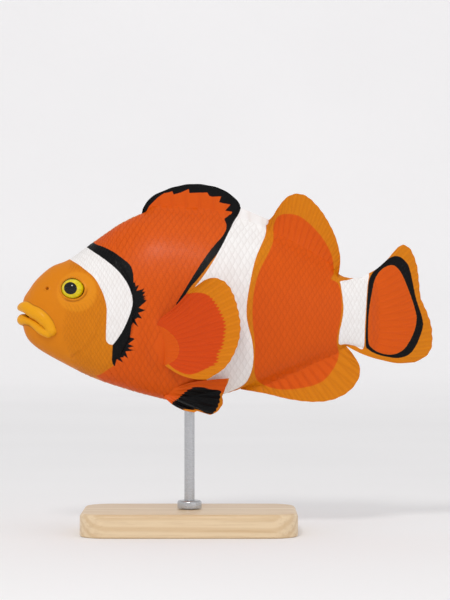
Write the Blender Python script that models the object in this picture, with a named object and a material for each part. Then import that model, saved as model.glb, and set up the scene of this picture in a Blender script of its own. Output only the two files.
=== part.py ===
"""A clownfish (Amphiprion percula), modelled life size as a museum shows one, on a plain stand.

The fish swims level and faces -X, with its left side towards -Y. X runs along the body, Z is up, and the
origin is on the table under the middle of the whole model. Shapes are laid out in millimetres, with heights
measured from the body's axis, and placed() turns them into metres, adding the tail's swing and the stand's
height. Each fin's root sits in a slot in the body, and each eye in a socket, with one thin gap all round.
"""

import math

import bmesh
import bpy
import numpy as np

# Driving dimensions, in millimetres.
TOTAL_LENGTH = 90.0  # snout to tail tip, an adult female
LAID_OUT_LENGTH, LAID_OUT_MIDDLE = 90.84, 0.39  # what the shapes below are laid out for, and their middle
AXIS_HEIGHT = 50.0  # the body's axis above the table
GAP = 0.3  # clearance between neighbouring pieces

SCALE = TOTAL_LENGTH / LAID_OUT_LENGTH
METRES = 0.001 * SCALE

# The body from snout to tail: x, height of the back, height of the belly, half width.
STATIONS = (
    (-43.9, -3.2, -3.2, 0.0),
    (-43.6, -0.1, -6.3, 1.9),
    (-42.6, 1.7, -8.7, 3.2),
    (-40.6, 4.4, -10.6, 4.5),
    (-37.4, 7.1, -12.6, 5.7),
    (-33.5, 8.9, -14.8, 6.7),
    (-28.0, 12.8, -17.4, 7.8),
    (-22.0, 16.8, -19.4, 8.5),
    (-16.0, 19.1, -21.1, 8.7),
    (-9.0, 19.0, -22.4, 8.6),
    (-1.0, 17.7, -20.9, 8.2),
    (7.0, 15.1, -18.2, 7.2),
    (15.0, 11.4, -15.1, 5.7),
    (21.5, 7.5, -12.2, 4.2),
    (26.5, 4.8, -10.3, 3.1),
    (31.6, 5.2, -11.4, 1.8),
)
BACK_POWER, BELLY_POWER = 1.25, 0.92  # over 1 draws a section in to a ridge, under 1 fills it out
RING_POINTS = 32

# The cut behind the gill covers bulges back at the sides, as a gill cover's edge does.
GILL_CUT_TOP, GILL_CUT_SIDE, GILL_CUT_BOTTOM = -25.5, -19.6, -28.0
GILL_EDGE_PROUD = 0.35  # how far the gill covers' edges stand out over the trunk
TAIL_STALK_FRONT = 26.2

# The tail swings gently away from the viewer, to +Y.
SWING_START, SWING_END, SWING = 4.0, 45.0, 9.0

# Fins, as (x, height) points. Each has a root, an outer margin, and two edges that join their ends.
ROOT_SUNK = 1.1  # how deep the roots of the dorsal and anal fins lie in the body
SPINY_DORSAL_MARGIN = (
    (-17.6, 19.8), (-16.2, 21.4), (-14.0, 22.8), (-10.4, 24.2), (-6.4, 24.9), (-2.4, 24.1),
    (1.2, 22.3), (3.1, 20.2), (5.2, 18.9), (8.9, 17.3),
)
SPINY_DORSAL_ROOT = (-18.2, 8.0)
SOFT_DORSAL_MARGIN = (
    (9.4, 17.2), (11.4, 20.0), (13.6, 22.2), (16.0, 22.8), (18.2, 22.1), (21.3, 18.5),
    (23.7, 14.1), (24.9, 9.8), (24.9, 7.0), (24.6, 5.2),
)
SOFT_DORSAL_ROOT = (8.6, 24.4)
ANAL_MARGIN = (
    (5.0, -20.0), (9.0, -20.5), (14.0, -21.7), (19.0, -22.3), (23.2, -21.9), (26.9, -20.1),
    (29.1, -17.2), (29.2, -14.4), (27.6, -11.7),
)
ANAL_ROOT = (4.4, 25.6)
TAIL_ROOT = ((29.8, 4.2), (30.4, -3.2), (29.8, -10.9))
TAIL_UPPER_EDGE = ((29.8, 4.2), (31.9, 5.8), (34.0, 7.4), (36.0, 9.4), (38.0, 11.5))
TAIL_LOWER_EDGE = ((29.8, -10.9), (32.4, -12.4), (35.6, -13.6), (38.8, -14.2), (41.4, -14.0))
TAIL_MARGIN = (
    (38.0, 11.5), (39.4, 11.9), (41.0, 10.7), (42.1, 7.5), (42.7, 3.6), (43.2, 0.0), (44.5, -2.9),
    (45.6, -6.3), (45.7, -9.6), (44.4, -12.3), (41.4, -14.0),
)
PECTORAL_ROOT = ((-14.7, -5.8), (-13.6, -10.0), (-13.2, -14.0))
PECTORAL_UPPER_EDGE = ((-14.7, -5.8), (-10.6, -1.0), (-6.9, 2.3), (-4.3, 4.0))
PECTORAL_LOWER_EDGE = ((-13.2, -14.0), (-9.8, -16.0), (-6.6, -16.9), (-3.7, -17.0))
PECTORAL_MARGIN = (
    (-4.3, 4.0), (-2.2, 4.5), (0.4, 3.3), (2.2, 0.0), (3.3, -5.4), (2.6, -10.0), (0.2, -14.3), (-3.7, -17.0),
)
PECTORAL_SPREAD = 8.2  # how far its margin stands out from the flank
PELVIC_ROOT = ((-13.2, -21.0), (-12.2, -20.2), (-11.2, -19.2))
PELVIC_OUTER_EDGE = ((-13.2, -21.0), (-11.4, -22.6), (-9.0, -23.8), (-6.6, -24.3))
PELVIC_INNER_EDGE = ((-11.2, -19.2), (-7.4, -17.9), (-3.4, -17.3), (1.0, -16.9))
PELVIC_MARGIN = ((-6.6, -24.3), (-3.2, -24.9), (-1.2, -23.8), (-0.4, -21.8), (0.3, -19.2), (1.0, -16.9))
PELVIC_SPREAD = 2.6

# Lips: the middle line of each from the front of the mouth to its left corner, as (x, y, height, radius).
UPPER_LIP = (
    (-43.95, 0.0, -1.75, 1.05), (-42.65, 2.4, -1.95, 1.3), (-41.2, 3.5, -2.95, 1.38),
    (-40.1, 4.2, -3.6, 1.43), (-38.9, 4.7, -4.6, 1.38), (-38.0, 5.0, -5.7, 1.2), (-37.3, 5.2, -6.9, 1.1),
)
LOWER_LIP = (
    (-43.75, 0.0, -4.55, 1.28), (-42.5, 2.2, -4.85, 0.95), (-41.6, 3.0, -5.4, 0.85),
    (-40.7, 3.7, -6.05, 0.85), (-39.3, 4.4, -7.0, 0.95), (-37.9, 4.95, -7.4, 1.0),
)

MOUTH_SLIT = (
    (-44.2, 0.0, -3.15, 1.0), (-42.8, 2.5, -3.4, 1.0), (-41.6, 3.6, -4.2, 1.0), (-40.4, 4.5, -5.0, 0.9),
    (-39.4, 5.0, -5.9, 0.8),
)  # the parting between them, cut open

EYE_X, EYE_HEIGHT, EYE_RADIUS, EYE_DEPTH = -32.5, 2.1, 2.7, 2.35
EYE_SUNK = 1.1  # how far the eye's centre lies under the cheek

# Stand, in real millimetres above the table.
BASE_X, BASE_LENGTH, BASE_WIDTH, BASE_THICKNESS, BASE_CORNER = -8.0, 46.0, 30.0, 5.0, 6.0
ROD_RADIUS, ROD_SUNK = 1.1, 3.0  # the rod is sunk as deep in the base as in the belly
COLLAR_RADIUS, COLLAR_HEIGHT, COLLAR_ROUNDING = 2.6, 1.6, 0.4


def clear_scene():
    for obj in list(bpy.data.objects):
        bpy.data.objects.remove(obj)


def material(name, rgb, roughness, metallic=0.0):
    made = bpy.data.materials.new(name)
    made.use_nodes = True
    shader = made.node_tree.nodes["Principled BSDF"]
    shader.inputs["Base Color"].default_value = (*rgb, 1.0)
    shader.inputs["Roughness"].default_value = roughness
    shader.inputs["Metallic"].default_value = metallic
    return made


def through(points, count, first=None):
    """count points along a smooth curve through the given ones. first stands before the first of them."""
    known = np.array(points, float)
    before = 2 * known[0] - known[1] if first is None else np.array(first, float)
    after = 2 * known[-1] - known[-2]
    padded = np.vstack([before, known, after])
    along = np.linspace(0, len(known) - 1, count)
    span = np.minimum(along.astype(int), len(known) - 2)
    t = (along - span)[:, None]
    a, b, c, d = (padded[span + i] for i in range(4))
    return 0.5 * (2 * b + (c - a) * t + (2 * a - 5 * b + 4 * c - d) * t**2 + (3 * b - a - 3 * c + d) * t**3)


def evenly(points, count):
    """count points along the same curve, an equal way apart."""
    curve = through(points, 400)
    way = np.concatenate([[0], np.cumsum(np.linalg.norm(np.diff(curve, axis=0), axis=1))])
    steps = np.linspace(0, way[-1], count)
    return np.column_stack([np.interp(steps, way, curve[:, i]) for i in range(curve.shape[1])])


# The stations read as a smooth curve. Its mirrored first point rounds the snout off bluntly.
_, snout_back, snout_belly, snout_width = STATIONS[1]
BODY = through(STATIONS, 1500, first=(STATIONS[1][0], snout_belly, snout_back, -snout_width))
PLACES = np.linspace(0, len(STATIONS) - 1, len(BODY))


def place_of(x):
    """Where along the stations the body reaches x."""
    return np.interp(x, BODY[:, 0], PLACES)


def section(place, angle):
    """Points on the body at a place along it. angle is 0 on the back, a quarter turn on the left flank."""
    x, back, belly, width = (np.interp(place, PLACES, BODY[:, i]) for i in range(4))
    power = BELLY_POWER + (BACK_POWER - BELLY_POWER) * (1 + np.cos(angle)) / 2
    side = np.sin(angle)
    y = -np.sign(side) * width * np.abs(side) ** power
    z = (back + belly) / 2 + (back - belly) / 2 * np.cos(angle)
    return np.stack(np.broadcast_arrays(x, y, z), axis=-1)


def flank(x, z, lowest=-0.93):
    """Half width of the body at x and height z. It stays the same below lowest, a share of the half height."""
    _, back, belly, width = (np.interp(x, BODY[:, 0], BODY[:, i]) for i in range(4))
    share = np.clip((z - (back + belly) / 2) / ((back - belly) / 2), lowest, 0.999)
    power = BELLY_POWER + (BACK_POWER - BELLY_POWER) * (1 + share) / 2
    return width * (1 - share**2) ** (power / 2)


def back_at(x):
    return np.interp(x, BODY[:, 0], BODY[:, 1])


def belly_at(x):
    return np.interp(x, BODY[:, 0], BODY[:, 2])


def placed(laid_out):
    """Laid-out millimetres in metres, with the tail's swing and the height of the stand."""
    done = np.array(laid_out, float).reshape(-1, 3)
    share = np.clip((done[:, 0] - SWING_START) / (SWING_END - SWING_START), 0, None)
    done[:, 1] += SWING * share**2
    done[:, 0] -= LAID_OUT_MIDDLE
    done[:, 2] += AXIS_HEIGHT / SCALE
    return done * METRES


def on_table(millimetres):
    """Real millimetres in metres, for the stand."""
    return np.array(millimetres, float).reshape(-1, 3) * 0.001


def solid(name, vertices, faces, look, cutter=False):
    """A closed mesh object. A cutter is hidden, and only takes its shape out of other pieces."""
    mesh = bpy.data.meshes.new(name)
    mesh.from_pydata(vertices.tolist(), [], faces)
    fixed = bmesh.new()
    fixed.from_mesh(mesh)
    bmesh.ops.recalc_face_normals(fixed, faces=fixed.faces)
    fixed.to_mesh(mesh)
    fixed.free()
    mesh.materials.append(look)
    mesh.shade_smooth()
    mesh.set_sharp_from_angle(angle=math.radians(35))
    obj = bpy.data.objects.new(name, mesh)
    bpy.context.scene.collection.objects.link(obj)
    if cutter:
        obj.hide_render = True
        obj.display_type = "WIRE"
    return obj


def boolean(obj, other, operation="DIFFERENCE", solver="EXACT"):
    made = obj.modifiers.new(other.name, "BOOLEAN")
    made.operation = operation
    made.solver = solver
    made.object = other


def lofted(name, rows, look, front=None, rear=None, cutter=False, where=placed):
    """A closed body through rows of equally many points. Its end caps meet in the points front and rear."""
    count = len(rows[0])
    front = rows[0].mean(0) if front is None else front
    rear = rows[-1].mean(0) if rear is None else rear
    vertices = np.vstack([*rows, front, rear])
    faces = []
    for row in range(len(rows) - 1):
        for k in range(count):
            after, this_row, next_row = (k + 1) % count, row * count, (row + 1) * count
            faces.append((this_row + k, this_row + after, next_row + after, next_row + k))
    front_tip, rear_tip, last = len(vertices) - 2, len(vertices) - 1, (len(rows) - 1) * count
    for k in range(count):
        after = (k + 1) % count
        faces.append((front_tip, after, k))
        faces.append((rear_tip, last + k, last + after))
    return solid(name, where(vertices), faces, look, cutter)


def angles():
    return np.arange(RING_POINTS) * 2 * math.pi / RING_POINTS


def gill_cut():
    """Where the cut between head and trunk lies along the stations, for each angle round the body."""
    around = angles()
    middle = (GILL_CUT_TOP + GILL_CUT_BOTTOM) / 2 + (GILL_CUT_TOP - GILL_CUT_BOTTOM) / 2 * np.cos(around)
    return middle + (GILL_CUT_SIDE - middle) * np.sin(around) ** 2


def build_head(look):
    cut = place_of(gill_cut() - GAP / 2)
    rows = [section(cut * share, angles()) for share in np.linspace(0, 1, 17)[1:]]
    outwards = np.column_stack([np.zeros(RING_POINTS), -np.sin(angles()), np.cos(angles())])
    for row, proud in ((-2, 0.6), (-1, 1.0)):
        rows[row] = rows[row] + outwards * GILL_EDGE_PROUD * proud * np.abs(np.sin(angles()))[:, None]
    tip = section(0.0, 0.0)
    return lofted("head", rows, look, front=tip, rear=(GILL_CUT_TOP, 0, rows[-1][:, 2].mean()))


def build_trunk(look):
    cut = place_of(gill_cut() + GAP / 2)
    end = place_of(TAIL_STALK_FRONT - GAP / 2)
    rows = [section(cut + (end - cut) * share, angles()) for share in np.linspace(0, 1, 17)]
    return lofted("trunk", rows, look, front=(GILL_CUT_TOP + GAP, 0, rows[0][:, 2].mean()))


def build_tail_stalk(look):
    start, end = place_of(TAIL_STALK_FRONT + GAP / 2), len(STATIONS) - 1
    rows = [section(start + (end - start) * share, angles()) for share in np.linspace(0, 1, 4)]
    return lofted("tail_stalk", rows, look)


def patch(root, margin, first_edge, last_edge, across, along):
    """A grid of (x, height) points between a fin's four sides, across its rays and then along them."""
    u = np.linspace(0, 1, across + 1)[:, None, None]
    t = np.linspace(0, 1, along + 1)[None, :, None]
    low, high = evenly(root, across + 1)[:, None, :], evenly(margin, across + 1)[:, None, :]
    left, right = evenly(first_edge, along + 1)[None, :, :], evenly(last_edge, along + 1)[None, :, :]
    corners = (
        (1 - u) * (1 - t) * low[:1] + u * (1 - t) * low[-1:] + (1 - u) * t * high[:1] + u * t * high[-1:]
    )
    return (1 - t) * low + t * high + (1 - u) * left + u * right - corners


def widened(grid, by):
    """The grid with its root and its two edges moved outwards, for a slot that clears the fin."""
    wide = grid.copy()
    for line, inner in (((slice(None), 0), (slice(None), 1)), ((0,), (1,)), ((-1,), (-2,))):
        out = grid[line] - grid[inner]
        wide[line] = wide[line] + out / np.linalg.norm(out, axis=-1, keepdims=True) * by
    return wide


def fin(name, grid, middle, thickness, look, cutter=False):
    """A closed plate. middle holds y for each grid point, and thickness its thickness there."""
    across, along = grid.shape[:2]
    sides = []
    for sign in (-1, 1):
        sides.append(np.dstack([grid[..., 0], middle + sign * thickness / 2, grid[..., 1]]).reshape(-1, 3))
    vertices = np.vstack(sides)
    faces, other = [], across * along

    def index(i, j):
        return i * along + j

    for i in range(across - 1):
        for j in range(along - 1):
            cell = (index(i, j), index(i + 1, j), index(i + 1, j + 1), index(i, j + 1))
            faces.append(cell)
            faces.append(tuple(k + other for k in reversed(cell)))
    rim = [index(i, 0) for i in range(across)] + [index(across - 1, j) for j in range(1, along)]
    rim += [index(i, along - 1) for i in range(across - 2, -1, -1)]
    rim += [index(0, j) for j in range(along - 2, 0, -1)]
    for k, here in enumerate(rim):
        after = rim[(k + 1) % len(rim)]
        faces.append((here, after, after + other, here + other))
    return solid(name, placed(vertices), faces, look, cutter)


def along_share(grid):
    """0 at the root and 1 at the margin, for each grid point."""
    return np.broadcast_to(np.linspace(0, 1, grid.shape[1])[None, :], grid.shape[:2])


def fin_thickness(grid, root, margin):
    return root + (margin - root) * along_share(grid) ** 0.7


def median_fin(name, grid, lean, root, look, bodies):
    """A fin on the mid-plane, set in slots in bodies. lean is how far its margin sways sideways."""
    sway = lean * along_share(grid) ** 1.6
    thickness = fin_thickness(grid, root, 0.6)
    made = fin(name, grid, sway, thickness, look)
    slot = fin("slot_" + name, widened(grid, GAP), sway, thickness + 2 * GAP, look, cutter=True)
    for body in bodies:
        boolean(body, slot)
    return made


def along_profile(root, height_at, sunk):
    """The root line of a fin that follows the back or belly from root[0] to root[1], sunk into the body."""
    x = np.linspace(root[0], root[1], 7)
    return np.column_stack([x, height_at(x) + sunk])


def build_dorsal_fins(look, trunk):
    for name, ends, margin, cells, lean in (
        ("dorsal_fin_spiny", SPINY_DORSAL_ROOT, SPINY_DORSAL_MARGIN, (20, 4), -0.6),
        ("dorsal_fin_soft", SOFT_DORSAL_ROOT, SOFT_DORSAL_MARGIN, (15, 6), -1.4),
    ):
        root = along_profile(ends, back_at, -ROOT_SUNK)
        grid = patch(root, margin, (root[0], margin[0]), (root[-1], margin[-1]), *cells)
        median_fin(name, grid, lean, 1.3, look, [trunk])


def build_anal_fin(look, trunk):
    root = along_profile(ANAL_ROOT, belly_at, ROOT_SUNK)
    grid = patch(root, ANAL_MARGIN, (root[0], ANAL_MARGIN[0]), (root[-1], ANAL_MARGIN[-1]), 16, 5)
    median_fin("anal_fin", grid, -1.0, 1.3, look, [trunk])


def build_tail_fin(look, tail_stalk):
    grid = patch(TAIL_ROOT, TAIL_MARGIN, TAIL_UPPER_EDGE, TAIL_LOWER_EDGE, 16, 7)
    median_fin("tail_fin", grid, 0.8, 1.5, look, [tail_stalk])


def paired_fins(name, sides, cells, sunk, spread, root, look, body):
    """A left and a right fin that stand out from the flank, set in slots in body."""
    grid = patch(*sides, *cells)
    for side, hand in (("left", -1), ("right", 1)):
        share = along_share(grid)
        stand_off = -sunk + (spread + sunk) * (1.35 * share - 0.35 * share**2)
        middle = hand * (flank(grid[..., 0], grid[..., 1]) + stand_off)
        thickness = fin_thickness(grid, root, 0.7)
        fin(f"{name}_{side}", grid, middle, thickness, look)
        slot = fin(f"slot_{name}_{side}", widened(grid, GAP), middle, thickness + 2.4 * GAP, look, cutter=True)
        boolean(body, slot)


def tube(name, line, look, grow=0.0, cutter=False):
    """A lip: a round bar from the left corner of the mouth round the front to the right one."""
    half = np.array(line, float)
    middle = evenly(np.vstack([half[:0:-1] * (1, -1, 1, 1), half]), 21)
    ahead = np.gradient(middle[:, :3], axis=0)
    ahead /= np.linalg.norm(ahead, axis=1, keepdims=True)
    rows, around = [], np.arange(10) * 2 * math.pi / 10
    for (x, y, z, radius), way in zip(middle, ahead):
        side = np.cross(way, (0, 0, 1))
        side /= np.linalg.norm(side)
        up = np.cross(side, way)
        ring = np.outer(np.cos(around), side) + np.outer(np.sin(around), up)
        rows.append(np.array((x, y, z)) + ring * (radius + grow))
    ends = [
        middle[i, :3] + ahead[i] * sign * (middle[i, 3] + grow) * 0.55 for i, sign in ((0, -1), (-1, 1))
    ]
    return lofted(name, rows, look, front=ends[0], rear=ends[1], cutter=cutter)


def build_lips(look, head):
    lips = tube("lips", UPPER_LIP, look)
    boolean(lips, tube("lower_lip_shape", LOWER_LIP, look, cutter=True), "UNION")

    seat = tube("lips_seat", UPPER_LIP, look, grow=GAP, cutter=True)
    boolean(seat, tube("lower_lip_seat", LOWER_LIP, look, grow=GAP, cutter=True), "UNION")
    boolean(seat, tube("mouth_slit", MOUTH_SLIT, look, cutter=True), "UNION", solver="MANIFOLD")
    boolean(head, seat)


def eyeball(name, hand, look, grow=0.0, cutter=False):
    centre_y = flank(EYE_X, EYE_HEIGHT) - EYE_SUNK
    rows = []
    around = np.arange(16) * 2 * math.pi / 16
    for tilt in np.linspace(0, math.pi, 9)[1:-1]:
        reach = (EYE_RADIUS + grow) * math.sin(tilt)
        y = hand * (centre_y - (EYE_DEPTH + grow) * math.cos(tilt))
        x, z = EYE_X + reach * np.cos(around), EYE_HEIGHT + reach * np.sin(around)
        rows.append(np.column_stack([x, np.full(len(around), y), z]))
    ends = [(EYE_X, hand * (centre_y + sign * (EYE_DEPTH + grow)), EYE_HEIGHT) for sign in (-1, 1)]
    return lofted(name, rows, look, front=ends[0], rear=ends[1], cutter=cutter)


def build_eyes(look, head):
    for side, hand in (("left", -1), ("right", 1)):
        eyeball("eye_" + side, hand, look)
        boolean(head, eyeball("socket_" + side, hand, look, grow=GAP, cutter=True), solver="MANIFOLD")


def turned_rows(profile, count=20):
    """Circles round the rod's axis, from (radius, height) pairs in millimetres above the table."""
    around = np.arange(count) * 2 * math.pi / count
    return [
        np.column_stack([BASE_X + radius * np.cos(around), radius * np.sin(around), np.full(count, height)])
        for radius, height in profile
    ]


def turned(name, profile, look, cutter=False):
    return lofted(name, turned_rows(profile), look, cutter=cutter, where=on_table)


def turned_ring(name, profile, look):
    """A ring whose profile closes on itself."""
    rows = turned_rows(profile)
    count, total = len(rows[0]), len(rows) * len(rows[0])
    faces = []
    for first in range(0, total, count):
        for k in range(count):
            after, above = (k + 1) % count, (first + count) % total
            faces.append((first + k, first + after, above + after, above + k))
    return solid(name, on_table(np.vstack(rows)), faces, look)


def build_base(look):
    outline = []
    for corner, (across, deep) in enumerate(((1, 1), (-1, 1), (-1, -1), (1, -1))):
        x = BASE_X + across * (BASE_LENGTH / 2 - BASE_CORNER)
        y = deep * (BASE_WIDTH / 2 - BASE_CORNER)
        for step in range(6):
            turn = math.radians(90 * corner + 18 * step)
            outline.append((x + BASE_CORNER * math.cos(turn), y + BASE_CORNER * math.sin(turn)))
    rows = [np.array([(x, y, height) for x, y in outline]) for height in (0.0, BASE_THICKNESS)]
    count = len(outline)
    faces = [tuple(range(count)), tuple(range(count, 2 * count))]
    faces += [(k, (k + 1) % count, (k + 1) % count + count, k + count) for k in range(count)]
    base = solid("stand_base", on_table(np.vstack(rows)), faces, look)
    rounded = base.modifiers.new("rounded edges", "BEVEL")
    rounded.width, rounded.segments, rounded.limit_method = 0.0008, 2, "ANGLE"
    rounded.angle_limit = math.radians(60)
    return base


def build_stand(wood, steel, trunk):
    """A flat base, a rod from it up into the belly, and a collar round the rod's foot."""
    base = build_base(wood)
    belly = AXIS_HEIGHT + belly_at(BASE_X / SCALE + LAID_OUT_MIDDLE) * SCALE
    foot, tip = BASE_THICKNESS - ROD_SUNK, belly + ROD_SUNK
    bore = ROD_RADIUS + GAP
    turned("stand_rod", ((ROD_RADIUS, foot), (ROD_RADIUS, tip)), steel)
    boolean(base, turned("rod_hole", ((bore, foot - GAP), (bore, BASE_THICKNESS + 2)), steel, cutter=True))
    boolean(trunk, turned("rod_socket", ((bore, belly - 2), (bore, tip + GAP)), steel, cutter=True))

    low = BASE_THICKNESS + GAP
    high = low + COLLAR_HEIGHT
    shoulder = (COLLAR_RADIUS, high - COLLAR_ROUNDING), (COLLAR_RADIUS - COLLAR_ROUNDING, high)
    turned_ring("stand_collar", ((bore, low), (COLLAR_RADIUS, low), *shoulder, (bore, high)), steel)


def main():
    clear_scene()
    body_orange = material("body orange", (0.67, 0.09, 0.004), 0.4)
    head_ochre = material("head ochre", (0.67, 0.21, 0.004), 0.4)
    lip_yellow = material("lip yellow", (0.80, 0.34, 0.007), 0.38)
    fin_orange = material("fin orange", (0.64, 0.065, 0.004), 0.42)
    eye_dark = material("eye", (0.62, 0.48, 0.004), 0.08)
    wood = material("pale wood", (0.62, 0.45, 0.28), 0.45)
    steel = material("steel", (0.62, 0.62, 0.63), 0.25, metallic=1.0)

    head = build_head(head_ochre)
    trunk = build_trunk(body_orange)
    tail_stalk = build_tail_stalk(body_orange)
    build_lips(lip_yellow, head)
    build_eyes(eye_dark, head)
    build_dorsal_fins(fin_orange, trunk)
    build_anal_fin(fin_orange, trunk)
    build_tail_fin(fin_orange, tail_stalk)
    pectoral = (PECTORAL_ROOT, PECTORAL_MARGIN, PECTORAL_UPPER_EDGE, PECTORAL_LOWER_EDGE)
    paired_fins("pectoral_fin", pectoral, (12, 7), 0.9, PECTORAL_SPREAD, 1.3, fin_orange, trunk)
    pelvic = (PELVIC_ROOT, PELVIC_MARGIN, PELVIC_OUTER_EDGE, PELVIC_INNER_EDGE)
    paired_fins("pelvic_fin", pelvic, (9, 6), 0.9, PELVIC_SPREAD, 1.2, fin_orange, trunk)
    build_stand(wood, steel, trunk)


main()
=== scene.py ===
"""The looks of a life-size museum model of a clownfish (Amphiprion percula) on its stand.

Shapes are laid out as in the part's source: in millimetres, with heights measured from the body's axis and
the body straight. placed() turns them into metres in the frame, adding the tail's swing. Markings are marks
on the vertices: how far a vertex lies inside a marking, in millimetres. Skin, scales and fins share them.
"""

import math

import bmesh
import bpy
import numpy as np
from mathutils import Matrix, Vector


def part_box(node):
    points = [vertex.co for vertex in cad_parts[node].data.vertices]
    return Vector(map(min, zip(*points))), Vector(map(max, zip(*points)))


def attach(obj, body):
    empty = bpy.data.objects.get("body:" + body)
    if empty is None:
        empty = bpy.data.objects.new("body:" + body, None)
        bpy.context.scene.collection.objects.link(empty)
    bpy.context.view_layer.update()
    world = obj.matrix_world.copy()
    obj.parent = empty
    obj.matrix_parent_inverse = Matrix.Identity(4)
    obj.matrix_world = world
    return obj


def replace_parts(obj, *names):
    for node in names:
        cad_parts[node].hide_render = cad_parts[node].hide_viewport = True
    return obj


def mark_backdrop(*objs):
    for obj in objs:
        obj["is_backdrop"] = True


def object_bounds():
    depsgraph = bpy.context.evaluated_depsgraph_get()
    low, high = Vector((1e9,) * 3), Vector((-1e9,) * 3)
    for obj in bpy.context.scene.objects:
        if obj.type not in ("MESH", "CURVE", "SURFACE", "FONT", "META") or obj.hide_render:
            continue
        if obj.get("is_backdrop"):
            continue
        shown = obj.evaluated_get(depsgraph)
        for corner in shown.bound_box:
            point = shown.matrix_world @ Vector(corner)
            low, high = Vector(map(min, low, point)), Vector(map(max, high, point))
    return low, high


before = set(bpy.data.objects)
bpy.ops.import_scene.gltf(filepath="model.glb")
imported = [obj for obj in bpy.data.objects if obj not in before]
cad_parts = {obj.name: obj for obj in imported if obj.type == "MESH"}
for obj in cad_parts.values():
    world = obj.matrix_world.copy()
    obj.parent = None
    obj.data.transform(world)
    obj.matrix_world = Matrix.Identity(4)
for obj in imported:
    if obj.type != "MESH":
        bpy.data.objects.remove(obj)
CAD_LOW, CAD_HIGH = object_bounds()

# ---------------------------------------------------------------- the body, in laid-out millimetres

LAID_OUT_LENGTH, LAID_OUT_MIDDLE = 90.84, 0.39
EYE_X, EYE_HEIGHT, EYE_SUNK = -32.5, 2.1, 1.1
METRES = (CAD_HIGH.x - CAD_LOW.x) / LAID_OUT_LENGTH
AXIS = sum(corner.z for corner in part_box("eye_left")) / 2 - EYE_HEIGHT * METRES
SWING_START, SWING_END, SWING = 4.0, 45.0, 9.0
COAT_DEPTH = 0.16  # the skin lies this deep inside the solids, so that the scales stay inside them too,
BARE_DEPTH = 0.02  # and this deep on the snout, which has none

# x, height of the back, height of the belly, half width. The last four thin the flesh out on the tail fin.
STATIONS = (
    (-43.9, -3.2, -3.2, 0.0), (-43.6, -0.1, -6.3, 1.9), (-42.6, 1.7, -8.7, 3.2), (-40.6, 4.4, -10.6, 4.5),
    (-37.4, 7.1, -12.6, 5.7), (-33.5, 8.9, -14.8, 6.7), (-28.0, 12.8, -17.4, 7.8), (-22.0, 16.8, -19.4, 8.5),
    (-16.0, 19.1, -21.1, 8.7), (-9.0, 19.0, -22.4, 8.6), (-1.0, 17.7, -20.9, 8.2), (7.0, 15.1, -18.2, 7.2),
    (15.0, 11.4, -15.1, 5.7), (21.5, 7.5, -12.2, 4.2), (26.5, 4.8, -10.3, 3.1), (31.6, 5.2, -11.4, 1.8),
    (32.4, 5.6, -11.8, 1.15), (33.4, 5.2, -11.4, 0.62), (34.4, 3.4, -9.6, 0.27), (35.1, 0.2, -6.4, 0.03),
)
BACK_POWER, BELLY_POWER = 1.25, 0.92  # over 1 draws a section in to a ridge, under 1 fills it out
RIDGE_ROUNDING = 0.12
AROUND = 300  # columns of the skin round the body
RING_LIMITS = (-27.5, -17.0, 29.6)  # at each x the spacing of the skin's rings changes
RING_STEPS = (0.155, 0.24, 0.62, 0.22)  # to the next of these
USUAL_ASPECT = 0.45  # half width over half height, for spacing the columns
FLANK_LIMITS = (-0.93, 0.999)  # shares of the half height past which the flank keeps its width
PECTORAL_FLESH = (-14.6, -9.9), (2.1, 5.0)  # middle and size of the raised base of each pectoral fin
PECTORAL_BARE = (-14.0, -9.9), (1.9, 4.7)  # and of the place there that has no scales

# Beads of flesh, as (x, y, height, radius), from the middle of the mouth to its corner.
UPPER_LIP = (
    (-44.3, 0.0, -1.9, 0.66), (-43.6, 1.3, -1.75, 1.05), (-42.6, 2.4, -1.85, 1.33),
    (-41.2, 3.4, -2.65, 1.48), (-39.85, 4.1, -3.3, 1.56), (-38.65, 4.55, -4.3, 1.56),
    (-37.7, 4.85, -5.45, 1.4), (-37.1, 5.2, -6.8, 1.13),
)
LOWER_LIP = (
    (-43.72, 0.0, -4.5, 1.26), (-42.6, 2.2, -4.75, 0.9), (-41.6, 3.0, -5.15, 0.8),
    (-40.7, 3.7, -5.68, 0.82), (-39.4, 4.4, -6.7, 0.94), (-37.9, 4.95, -7.35, 1.0),
)
MOUTH_SLIT = (
    (-44.2, 0.0, -3.1, 1.0), (-42.8, 2.5, -3.3, 1.0), (-41.6, 3.6, -4.05, 1.0), (-40.4, 4.5, -4.85, 0.9),
    (-39.4, 5.0, -5.65, 0.75), (-38.4, 5.3, -6.35, 0.6),
)

EYEBALL = (2.62, 2.3, 2.42)  # half length, half depth and half height of the eyeball
IRIS_MIDDLE, IRIS_SIZE = (-32.6, 2.2), (2.5, 2.15)
PUPIL_MIDDLE, PUPIL_SIZE = (-33.0, 2.3), (1.42, 1.29)
EYE_FOLD_TURN = math.radians(-66)  # the direction from the iris in which the fold lies

GILL_EDGE = (
    (-23.6, 8.2), (-21.6, 5.2), (-20.1, 1.6), (-19.6, -2.4), (-20.1, -6.6), (-21.7, -10.6), (-24.2, -13.8),
    (-27.6, -16.2), (-31.0, -17.6),
)
CHEEK_RIDGE = ((-27.6, 5.4), (-26.7, 2.0), (-26.5, -2.4), (-27.5, -6.8), (-29.8, -10.2), (-33.2, -12.4))
NOSTRIL = (-38.2, 2.3)

# ---------------------------------------------------------------- the fins' outlines, as (x, height)

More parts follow.
